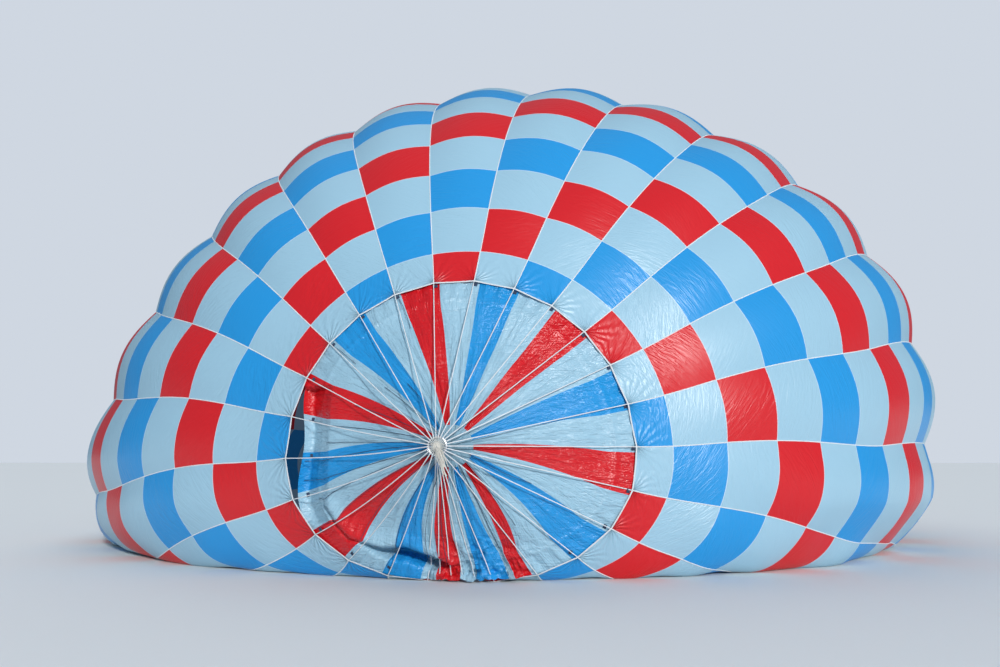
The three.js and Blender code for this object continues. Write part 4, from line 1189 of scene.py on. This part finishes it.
def heated_steel():
    """Plain steel at the block, straw and then blue towards the open end."""
    low, high = box_of("burner_left")
    finish, tree, shader = new_finish("heated_steel", 0.3, metallic=1.0)
    place = object_place(tree)
    y = add_node(tree, "ShaderNodeSeparateXYZ", {0: place}).outputs[1]
    patchy = maths(tree, "MULTIPLY", noise(tree, place, 9.0, 3), 0.12)
    heat = add_node(tree, "ShaderNodeMapRange", {
        "Value": maths(tree, "SUBTRACT", y, patchy),
        "From Min": high[1] - HEAT_FROM, "From Max": low[1] - HEAT_TO}).outputs["Result"]
    ramp = add_node(tree, "ShaderNodeValToRGB", {0: heat})
    stops = ramp.color_ramp.elements
    stops[0].position, stops[0].color = 0.35, (0.55, 0.55, 0.56, 1)
    stops[1].position, stops[1].color = 1.0, (0.16, 0.19, 0.30, 1)
    straw = stops.new(0.72)
    straw.color = (0.48, 0.34, 0.17, 1)
    tree.links.new(ramp.outputs[0], shader.inputs["Base Color"])
    return finish


hot_steel = heated_steel()
print("heated steel has", len(hot_steel.node_tree.nodes), "nodes")

# %% [markdown]
# A lathe
# Cans, bottles, valves and gauges are round, so they are drawn as a lathe cuts them: a profile of radius
# and height, turned round an axis. Blender's screw modifier does that too. Here the profile's corners
# are rounded on the way, because an edge without any rounding catches no light.

# %% Turn a profile


def turned(profile, at, towards=-1, soft=0.004, sides=40):
    """Points and faces of a profile turned round a line along Y, its corners rounded by soft.

    For each (r, h): x = at_x + r cos(a), y = at_y + towards h, z = at_z - towards r sin(a). The first
    and last r are 0.
    """
    profile = np.array(profile, float)
    corner, back, on = profile[1:-1], profile[:-2] - profile[1:-1], profile[2:] - profile[1:-1]
    far_back, far_on = (np.linalg.norm(v, axis=1, keepdims=True) for v in (back, on))
    reach = np.minimum(soft, 0.2 * np.minimum(far_back, far_on))
    back, on = back * reach / far_back, on * reach / far_on
    line = np.stack([2 * back, back, (back + on) / 4, on, 2 * on], 1) + corner[:, None]
    r, h = line.reshape(-1, 2, 1).transpose(1, 0, 2)
    a = np.linspace(0, 2 * np.pi, sides, endpoint=False)
    x, y, z = r * np.cos(a), towards * h + 0 * a, -towards * r * np.sin(a)
    rings = np.stack([at[0] + x, at[1] + y, at[2] + z], -1)
    poles = [[at[0], at[1] + towards * end, at[2]] for end in profile[[0, -1], 1]]
    here = np.arange(sides)
    there, first = (here + 1) % sides, len(rings) * sides
    faces = [grid_faces(len(rings), sides, around=True),
             np.stack([here * 0 + first, there, here], -1),
             np.stack([first - sides + here, first - sides + there, here * 0 + first + 1], -1)]
    return np.concatenate([rings.reshape(-1, 3), poles]), faces


disc_points, _ = turned([(0, 0), (1, 0), (1, 0.1), (0, 0.1)], (0, 0, 0))
print("points of a turned disc:", len(disc_points))

# %% [markdown]
# Burners
# Each burner is a steel can with a coil inside, in which the fuel turns to gas. The can comes off the
# lathe, and the coil is a round section carried along a helix.

# %% Cans and coils
CAN = dict(radius=0.13, wall=0.006, base=0.034, neck=0.12, floor=0.026)
COIL = dict(turns=8, tube=0.028, first=0.04, last=0.31, steps=36, gap=0.0005)
BURNERS = ("burner_left", "burner_right")


def burner(back_end, length):
    """A can open at its far end, with its coil: angle 2 pi n for turn n, while y falls evenly."""
    inside = CAN["radius"] - CAN["wall"]
    profile = [(0, 0), (CAN["radius"], 0), (CAN["radius"], length), (inside, length),
               (inside, CAN["floor"]), (CAN["base"], CAN["floor"]), (CAN["base"], CAN["neck"]),
               (0, CAN["neck"])]
    share = np.linspace(0, 1, COIL["turns"] * COIL["steps"] + 1)
    a, reach = 2 * np.pi * COIL["turns"] * share, inside - COIL["tube"] / 2 - COIL["gap"]
    y = back_end[1] - COIL["first"] - share * (COIL["last"] - COIL["first"])
    line = np.stack([back_end[0] + reach * np.cos(a), y, back_end[2] + reach * np.sin(a)], -1)
    coil = sweep(line, oval(COIL["tube"], COIL["tube"], 10), closed=False)
    return together([turned(profile, back_end), coil])


def back_end_of(node):
    """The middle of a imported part's back end, where y is highest."""
    low, high = box_of(node)
    return np.array([(low[0] + high[0]) / 2, high[1], (low[2] + high[2]) / 2])


for name in BURNERS:
    length = box_of(name)[1][1] - box_of(name)[0][1]
    can = add_mesh(name.replace("burner", "burner_can"), *burner(back_end_of(name), length), hot_steel,
                   body="burners", shift=False)
    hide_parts(name)
print("turns of each coil:", COIL["turns"])

# %% [markdown]
# Jets, gauge and block
# The gas leaves through a ring of brass tube inside each can, and a gauge on the dark block between the
# cans shows the pressure. One is a hoop with a round section, the other comes off the lathe.

# %% Brass fittings
JETS = dict(radius=0.066, tube=0.016, along=0.15)
GAUGE_BEHIND = 0.059  # from the frame's middle
GAUGE = [(0, 0), (0.032, 0), (0.032, 0.02), (0.027, 0.02), (0.027, 0.015), (0, 0.015)]


def hoop(at, radius, count):
    """Points of a circle round a line along Y."""
    a = np.linspace(0, 2 * np.pi, count, endpoint=False)
    return at + radius * np.stack([np.cos(a), 0 * a, np.sin(a)], -1)


brass = metal("brass", (0.62, 0.43, 0.17, 1), 0.3)
fittings = [turned(GAUGE, (AXIS_X, pivot_y + GAUGE_BEHIND, AXIS_Z), towards=1)]
for name in BURNERS:
    jets = hoop(back_end_of(name) - [0, JETS["along"], 0], JETS["radius"], 48)
    fittings.append(sweep(jets, oval(JETS["tube"], JETS["tube"], 10)))
add_mesh("burner_fittings", *together(fittings), brass, body="burners", shift=False)
paint(["burner_manifold"], metal("burner_block", (0.05, 0.05, 0.055, 1), 0.42))

# %% [markdown]
# Leather
# Leather is a skin of small rounded cells with creases between them, rubbed lighter where it is worn.
# Voronoi cells give the first, and soft noise between two shades the second.

# %% Two leathers
LEATHER_CELLS = 220.0  # cells a metre


def leather(name, colour):
    """Small rounded cells, pressed in at their edges, over soft unevenness."""
    finish, tree, shader = new_finish(name, 0.48)
    place = object_place(tree)
    cells = add_node(tree, "ShaderNodeTexVoronoi", {"Vector": place, "Scale": LEATHER_CELLS})
    worn = noise(tree, place, 7.0, 4)
    dark = tuple(c * 0.55 for c in colour[:3]) + (1,)
    tree.links.new(blend_colours(tree, worn, dark, colour), shader.inputs["Base Color"])
    raise_surface(tree, shader, cells.outputs["Distance"], 0.0012)
    return finish


brown_leather = leather("brown_leather", (0.17, 0.075, 0.035, 1))
rawhide = leather("rawhide", (0.30, 0.17, 0.085, 1))
print("leather cells are", round(1000 / LEATHER_CELLS, 1), "mm wide")

# %% [markdown]
# Sleeves on the uprights
# The four uprights are nylon rods inside padded sleeves, which also carry the fuel hoses. A sleeve is a
# tube whose radius is pinched at both ends, with shallow wrinkles, and a zip lies along it.

# %% Padded sleeves
SLEEVE_ROWS, UPRIGHT_RADIUS = 90, 0.034
PINCH, PINCH_OVER = 0.16, 0.03  # shares of the radius and of the length
FILLED, WRINKLES = 0.96, 0.035  # shares of the radius
WRINKLE_LENGTH, WRINKLE_DRAW = 0.09, 21
ZIP, ZIP_OUT = (0.012, 0.008), 0.97  # its section, and how far out it lies as a share of the radius
zips = []
for corner, (sx, sz) in zip(CORNERS, SIDES):
    low, high = box_of(f"upright_{corner}")
    upper, lower = (np.array([inset_from(low[0], high[0], way * sx, UPRIGHT_RADIUS), y,
                              inset_from(low[2], high[2], way * sz, UPRIGHT_RADIUS)])
                    for way, y in ((-1, low[1]), (1, high[1])))
    t = np.linspace(0, 1, SLEEVE_ROWS)[:, None]
    line = upper * (1 - t) + lower * t
    ring = oval(2, 2, 28)
    surface_at = line[:, None] + UPRIGHT_RADIUS * np.insert(ring, 1, 0, axis=1)
    pinch = 1 - PINCH * (np.exp(-(t / PINCH_OVER) ** 2) + np.exp(-((1 - t) / PINCH_OVER) ** 2))
    wrinkled = UPRIGHT_RADIUS * (FILLED * pinch + WRINKLES * waves(surface_at, WRINKLE_LENGTH, WRINKLE_DRAW))
    points, faces = sweep(line, ring[None] * wrinkled[..., None], (0, 0, 1), closed=False)
    sleeve = add_mesh(f"sleeve_{corner}", points, faces, brown_leather, shift=False)
    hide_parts(f"upright_{corner}")
    zip_line = line[3:-3] + np.array([0, 0, ZIP_OUT * sz]) * UPRIGHT_RADIUS
    zips.append(sweep(zip_line, oval(*ZIP, 8), (0, 0, 1), closed=False))
add_mesh("sleeve_zips", *together(zips), black_webbing, shift=False)

# %% [markdown]
# Wicker
# The basket's wall is woven: upright stakes, and weavers that pass over one stake and under the next,
# the other way round in each following row. Every cane could be a tube of its own, at the cost of
# millions of faces. A height over the wall's plane looks the same: a cosine along the row, plus the round
# top of the weaver, and a stake shows wherever it stands higher. The number of stakes is even, so that
# the pattern closes on itself.

# %% The weave as a height
STAKES, WEAVER, WALL = 64, 0.02, 0.035
WEAVE = dict(over=0.0045, weaver=0.006, stake=0.007, stake_in=0.002, top=0.0105)


def weave_height(stake, row, q):
    """stake counts stakes, row is a whole number, q goes from 0 to 1 across a weaver. The weaver's height
    is over cos(pi (stake + row)) plus a half circle, the stake's cos(2 pi stake). The higher one shows."""
    over = np.cos(np.pi * (stake + row))
    rod = np.sqrt(np.clip(1 - (2 * q - 1) ** 2, 0, 1))
    weaver = WEAVE["over"] * over + WEAVE["weaver"] * rod
    post = WEAVE["stake"] * np.clip(np.cos(2 * np.pi * stake), 0, 1) - WEAVE["stake_in"]
    return np.maximum(weaver, post) - WEAVE["top"]


deepest = -float(weave_height(np.linspace(0, 2, 41), 0, 0.5).min())
print("the weave lies up to", round(1000 * deepest, 1), "mm inside the wall's face")

# %% [markdown]
# Cane
# No two canes have the same shade. The UV map of the wall counts stakes one way and rows the other, so
# the whole part of the second number names a weaver, and a chance value from it gives the shade. Streaks
# run along each cane, and painted shade darkens it where two rows meet.

# %% Cane


def cane():
    """Each weaver has its own shade of cane, streaked along its length, with painted shade in the cracks
    between rows.
    """
    finish, tree, shader = new_finish("cane", 0.55)
    stake, row = cut_place(tree)
    one = maths(tree, "FLOOR", row)
    chance = add_node(tree, "ShaderNodeTexWhiteNoise", {"W": one}, noise_dimensions="1D").outputs["Value"]
    shade = blend_colours(tree, chance, (0.26, 0.125, 0.045, 1), (0.50, 0.29, 0.12, 1))
    along_cane = add_node(tree, "ShaderNodeCombineXYZ", {0: stake, 1: maths(tree, "MULTIPLY", row, 6)})
    streak = noise(tree, along_cane.outputs[0], 2.0, 4)
    shade = blend_colours(tree, maths(tree, "MULTIPLY", streak, 0.7), shade, (0.62, 0.42, 0.20, 1))
    # painted shade: each row turns nearly black towards its edges, where it meets the next row
    from_middle = maths(tree, "ABSOLUTE", maths(tree, "MULTIPLY_ADD", maths(tree, "FRACT", row), 2, -1))
    painted_crack_shade = maths(tree, "POWER", from_middle, 7)
    shade = blend_colours(tree, painted_crack_shade, shade, (0.05, 0.022, 0.01, 1))
    tree.links.new(shade, shader.inputs["Base Color"])
    raise_surface(tree, shader, streak, 0.0015)
    return finish


wicker = cane()
print("cane has", len(wicker.node_tree.nodes), "nodes")

# %% [markdown]
# The wall
# The wall is woven twice: finely outside, where it is looked at, and coarser inside. Both stand for the
# packed wall. A foothole goes through each long side, so the faces there are left out.

# %% The woven wall
WALL_CORNER = 0.13
HOLE = dict(half_x=0.085, half_y=0.05, from_floor=0.40)
FINE = np.array([0.03, 0.33, 0.67, 0.97])  # places across a weaver
COARSE = np.array([0.03, 0.5, 0.97])
THINNER = 0.012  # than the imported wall, measured between the highest canes
wall_low, wall_high = box_of("basket_wall")
half_x, half_z = (wall_high[0] - wall_low[0]) / 2, (wall_high[2] - wall_low[2]) / 2
hole_y = wall_high[1] - HOLE["from_floor"]


def woven(name, inset, per_stake, steps, outward, finish):
    """One side of the wall: a point of the loop, plus outward times the weave's height along the loop's
    normal, and y grows evenly from row to row. The faces are left out where the footholes are."""
    count = STAKES * per_stake
    loop = level_loop(half_x - inset, half_z - inset, WALL_CORNER - inset, 0.0, count)
    out, _ = across_path(loop, np.array([0.0, 1, 0]), True)
    out *= np.sign(np.sum(out * (loop - [AXIS_X, 0, AXIS_Z]), -1, keepdims=True))
    rows_in_all = int(round((wall_high[1] - wall_low[1]) / WEAVER))
    row = np.repeat(np.arange(rows_in_all), len(steps))
    q = np.tile(steps, rows_in_all)
    height = weave_height(np.arange(count)[None] / per_stake, row[:, None], q[:, None])
    points = loop[None] + out[None] * (outward * height)[..., None]
    points[..., 1] = wall_low[1] + (row + q)[:, None] * (wall_high[1] - wall_low[1]) / rows_in_all
    faces = grid_faces(len(row), count, around=True)
    flat = points.reshape(-1, 3)
    from_hole = np.abs(flat[faces].mean(1)[:, :2] - [AXIS_X, hole_y])
    faces = faces[~(from_hole < [HOLE["half_x"], HOLE["half_y"]]).all(1)]
    if outward > 0:
        faces = faces[:, ::-1]
    uv = np.stack(np.meshgrid(np.arange(count) / per_stake, row + q), -1).reshape(-1, 2)
    piece = add_mesh(name, flat, [faces], finish, uv=uv, shift=False)
    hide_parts("basket_wall")


woven("wicker_outside", 0.0, 6, FINE, 1, wicker)
woven("wicker_inside", WALL - THINNER, 4, COARSE, -1, wicker)

# %% [markdown]
# Leather round the rim
# A padded leather roll covers the basket's rim. It is laced on through the weave, and each turn of the
# lace draws it in: a small dent every ten steps along the loop.

# %% The rim's roll
RIM_COUNT, RIM_WIDE = 700, 0.075
LACED_IN, LACE_STEPS = 0.035, 10
rim_low, rim_high = box_of("basket_rim")
rim_inset = RIM_WIDE / 2 - (wall_low[0] - rim_low[0])
rim_line = level_loop(half_x - rim_inset, half_z - rim_inset, WALL_CORNER - rim_inset,
                      (rim_low[1] + rim_high[1]) / 2, RIM_COUNT)
laced = 1 - LACED_IN * np.abs(np.sin(np.pi * np.arange(RIM_COUNT) / LACE_STEPS))[:, None, None]
roll = oval(RIM_WIDE, rim_high[1] - rim_low[1], 22, 0.75)[None] * laced
rim = add_mesh("rim_roll", *sweep(rim_line, roll), brown_leather, shift=False)
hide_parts("basket_rim")

# %% [markdown]
# Binding and footholes
# A flatter strip of rawhide guards the basket's lower edge, and each foothole is lined with it. Both are
# squarish ovals carried round a loop.

# %% Binding and linings
BINDING_THICK, LINING_THICK = 0.024, 0.012
LINING_IN, LINING_CORNER_IN = 0.003, 0.004  # less than the hole's half sizes and its corners' radius
LINING_OUT, LINING_WIDER = 0.001, 0.008  # how far it stands out, and how much wider it is than the wall
edging_low, edging_high = box_of("basket_edging")
outside = BINDING_THICK / 2
edging_line = level_loop(half_x + outside, half_z + outside, WALL_CORNER + outside,
                         (edging_low[1] + edging_high[1]) / 2, 400)
strip = oval(BINDING_THICK, edging_high[1] - edging_low[1], 20, 0.4)
edging = add_mesh("edging_binding", *sweep(edging_line, strip), rawhide, shift=False)
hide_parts("basket_edging")

linings = []
for side in (-1, 1):
    x, y = rounded_loop(HOLE["half_x"] - LINING_IN, HOLE["half_y"] - LINING_IN,
                        HOLE["half_y"] - LINING_CORNER_IN, 96).T
    z = AXIS_Z + side * (half_z - WALL / 2 + LINING_OUT)
    line = np.stack([AXIS_X + x, hole_y + y, np.full(len(x), z)], -1)
    linings.append(sweep(line, oval(LINING_THICK, WALL + LINING_WIDER, 14, 0.7), (0, 0, 1)))
add_mesh("foothole_linings", *together(linings), rawhide, shift=False)

# %% [markdown]
# The floor of the basket
# The floor is varnished birch plywood. Noise squeezed across the basket and stretched along it looks like
# grain, and the same noise, raised a little, catches the light.

# %% Varnished boards


def boards():
    """Varnished birch: grain stretched along the basket's length."""
    finish, tree, shader = new_finish("boards", 0.45)
    stretched = add_node(tree, "ShaderNodeMapping", {
        "Vector": object_place(tree), "Scale": (0.7, 14.0, 14.0)}).outputs[0]
    grain = noise(tree, stretched, 3.0, 6, 0.7)
    tree.links.new(blend_colours(tree, grain, (0.30, 0.17, 0.075, 1), (0.60, 0.42, 0.24, 1)),
                   shader.inputs["Base Color"])
    raise_surface(tree, shader, grain, 0.001)
    return finish


paint(["basket_floor"], boards())

# %% [markdown]
# Fuel bottles
# Four steel bottles stand in the basket's corners. Each is pressed from two halves with a weld round the
# middle, and has a brass valve on top, where its hose starts. Both come off the lathe, like the cans.

# %% Bottles and valves
BOTTLE = dict(radius=0.15, length=0.88, shoulder=0.09, foot=0.02, weld=0.0015, weld_half=0.006, cap=0.03)
CAP_TOP, VALVE_FOOT = 0.006, 0.005  # over the shoulder: the valve's foot is sunk into the cap
VALVE_PROFILE = [  # a flange, the valve's body, a nut and the hose's tail
    (0, 0), (0.03, 0), (0.03, 0.016), (0.02, 0.02), (0.02, 0.042), (0.026, 0.044), (0.026, 0.056),
    (0.012, 0.06), (0.012, 0.07), (0, 0.07),
]
round_in = np.linspace(0, 0.4 * np.pi, 8)
shoulder = np.stack([BOTTLE["radius"] * np.cos(round_in),
                     BOTTLE["length"] - BOTTLE["shoulder"] * (1 - np.sin(round_in))], -1)
bottle_top, half_way, wide = shoulder[-1, 1], BOTTLE["length"] / 2, BOTTLE["radius"]
bottle_profile = [
    (0, 0), (wide - BOTTLE["foot"], 0), (wide, 2 * BOTTLE["foot"]),
    (wide, half_way - BOTTLE["weld_half"]), (wide + BOTTLE["weld"], half_way),
    (wide, half_way + BOTTLE["weld_half"]), *shoulder.tolist(),
    (BOTTLE["cap"], bottle_top + CAP_TOP), (0, bottle_top + CAP_TOP),
]
bottle_steel = metal("bottle_steel", (0.62, 0.64, 0.66, 1), 0.3, 25.0)
valves = []
for corner in CORNERS:
    foot_at = back_end_of(f"fuel_cylinder_{corner}")
    bottle = add_mesh(f"bottle_{corner}", *turned(bottle_profile, foot_at, soft=0.006), bottle_steel,
                      shift=False)
    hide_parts(f"fuel_cylinder_{corner}")
    valves.append(turned(VALVE_PROFILE, foot_at - [0, bottle_top + VALVE_FOOT, 0], soft=0.002))
add_mesh("bottle_valves", *together(valves), brass, shift=False)

# %% [markdown]
# Straps
# Two webbing straps hold each bottle to the wall. A strap is a thin flat section carried round a hoop that
# just clears the steel.

# %% Two straps on each bottle
STRAP = (0.005, 0.05)
STRAP_AT = [0.28, 0.72]  # shares of the bottle's length
straps = []
for corner in CORNERS:
    low, high = box_of(f"fuel_cylinder_{corner}")
    at = (low + high) / 2
    for share in STRAP_AT:
        at[1] = low[1] + share * (high[1] - low[1])
        straps.append(sweep(hoop(at, BOTTLE["radius"] + STRAP[0] / 2, 64), oval(*STRAP, 8, 0.3)))
add_mesh("cylinder_straps", *together(straps), black_webbing, shift=False)

# %% [markdown]
# Fuel hoses
# A black hose runs from each valve into the end of that corner's sleeve. It leaves the valve straight and
# bends evenly, as a curve between two ends and two pulls does.

# %% The four hoses
HOSE, HOSE_STEPS = 0.014, 60
HOSE_SUNK = 0.002  # into the valve's tail
VALVE_PULL = np.array([0, 0.16, 0])
SLEEVE_IN, SLEEVE_UP = 0.05, 0.07  # how far inside the sleeve's lower end a hose ends
SLEEVE_PULL = np.array([0.08, 0.14, 0.05])


def bent_between(start, first_pull, last_pull, end, count):
    """(1-t) cubed start + 3 t (1-t) squared first_pull + 3 t squared (1-t) last_pull + t cubed end."""
    t = np.linspace(0, 1, count)[:, None]
    return (start * (1 - t) ** 3 + 3 * first_pull * t * (1 - t) ** 2 + 3 * last_pull * t ** 2 * (1 - t)
            + end * t ** 3)


for corner, (sx, sz) in zip(CORNERS, SIDES):
    low, high = box_of(f"fuel_cylinder_{corner}")
    start = np.array([(low[0] + high[0]) / 2, low[1] + HOSE_SUNK, (low[2] + high[2]) / 2])
    low, high = box_of(f"upright_{corner}")
    end = np.array([inset_from(low[0], high[0], sx, SLEEVE_IN), high[1] - SLEEVE_UP,
                    inset_from(low[2], high[2], sz, SLEEVE_IN)])
    line = bent_between(start, start - VALVE_PULL, end + SLEEVE_PULL * [-sx, 1, -sz], end, HOSE_STEPS)
    points, faces = sweep(line, oval(HOSE, HOSE, 12), (0.3, 0.1, 1), closed=False)
    hose = add_mesh(f"fuel_hose_{corner}", points, faces, black_webbing, shift=False)

# %% [markdown]
# A plain floor
# A studio floor is one pale, dull square, so wide that its edge comes close to the horizon. It is stage,
# not part of the balloon.

# %% The studio floor
FLOOR_HALF = 400.0
dull_white, _, _ = new_finish("floor", 0.9, base_color=(0.78, 0.78, 0.77, 1))
floor_mesh = bpy.data.meshes.new("floor")
floor_corners = [(x * FLOOR_HALF, y * FLOOR_HALF, 0) for x, y in ((-1, -1), (1, -1), (1, 1), (-1, 1))]
floor_mesh.from_pydata(floor_corners, [], [(0, 1, 2, 3)])
floor_mesh.materials.append(dull_white)
floor = bpy.data.objects.new("floor", floor_mesh)
bpy.context.scene.collection.objects.link(floor)
print("floor:", 2 * FLOOR_HALF, "m square")

# %% [markdown]
# The sky
# A pale sky fills the shadows. One strength for everything would either leave the picture's background
# grey or turn the cloth milky, because cloth this smooth mirrors it. So a ray is asked what it is: the sky
# is brightest where it is seen, and dimmest where it is mirrored.

# %% A sky that knows its rays
SKY_LIGHT, SKY_SEEN, SKY_MIRRORED = 0.42, 0.78, 0.22  # its light, and how bright it is seen and mirrored
SKY_BLUE, SKY_PALE = (0.62, 0.80, 1.0, 1), (0.80, 0.87, 0.97, 1)
world = bpy.data.worlds.new("sky")
bpy.context.scene.world = world
world.use_nodes = True
sky_tree = world.node_tree
sky = sky_tree.nodes["Background"]
rays = add_node(sky_tree, "ShaderNodeLightPath", {}).outputs
seen, mirrored = rays["Is Camera Ray"], rays["Is Glossy Ray"]
strength = maths(sky_tree, "MULTIPLY_ADD", seen, SKY_SEEN - SKY_LIGHT, SKY_LIGHT)
strength = maths(sky_tree, "MULTIPLY_ADD", mirrored, SKY_MIRRORED - SKY_LIGHT, strength)
sky_tree.links.new(blend_colours(sky_tree, seen, SKY_BLUE, SKY_PALE), sky.inputs["Color"])
sky_tree.links.new(strength, sky.inputs["Strength"])
print("the sky's strength as light, seen and mirrored:", SKY_LIGHT, SKY_SEEN, SKY_MIRRORED)

# %% [markdown]
# Suns
# One sun stands behind the camera, as it does for most photographs of a balloon being filled. A weaker,
# very broad one opens the far side. It isn't mirrored, or it would lay a second gleam on every fold.

# %% Two suns
SUNS = (  # strength, then tilt, turn and width in degrees
    ("sun", 2.6, 71, 26, 5),
    ("fill", 0.9, 35, 205, 60),
)
for name, energy, tilt, turn, wide in SUNS:
    sun = bpy.data.objects.new(name, bpy.data.lights.new(name, "SUN"))
    sun.data.energy = energy
    sun.data.angle = np.radians(wide)
    sun.visible_glossy = name == "sun"
    sun.rotation_euler = (np.radians(tilt), 0, np.radians(turn))
    bpy.context.scene.collection.objects.link(sun)
    print(f"{name}: strength {energy}, tilted {tilt} and turned {turn} degrees")
bpy.context.scene.view_settings.view_transform = "Standard"
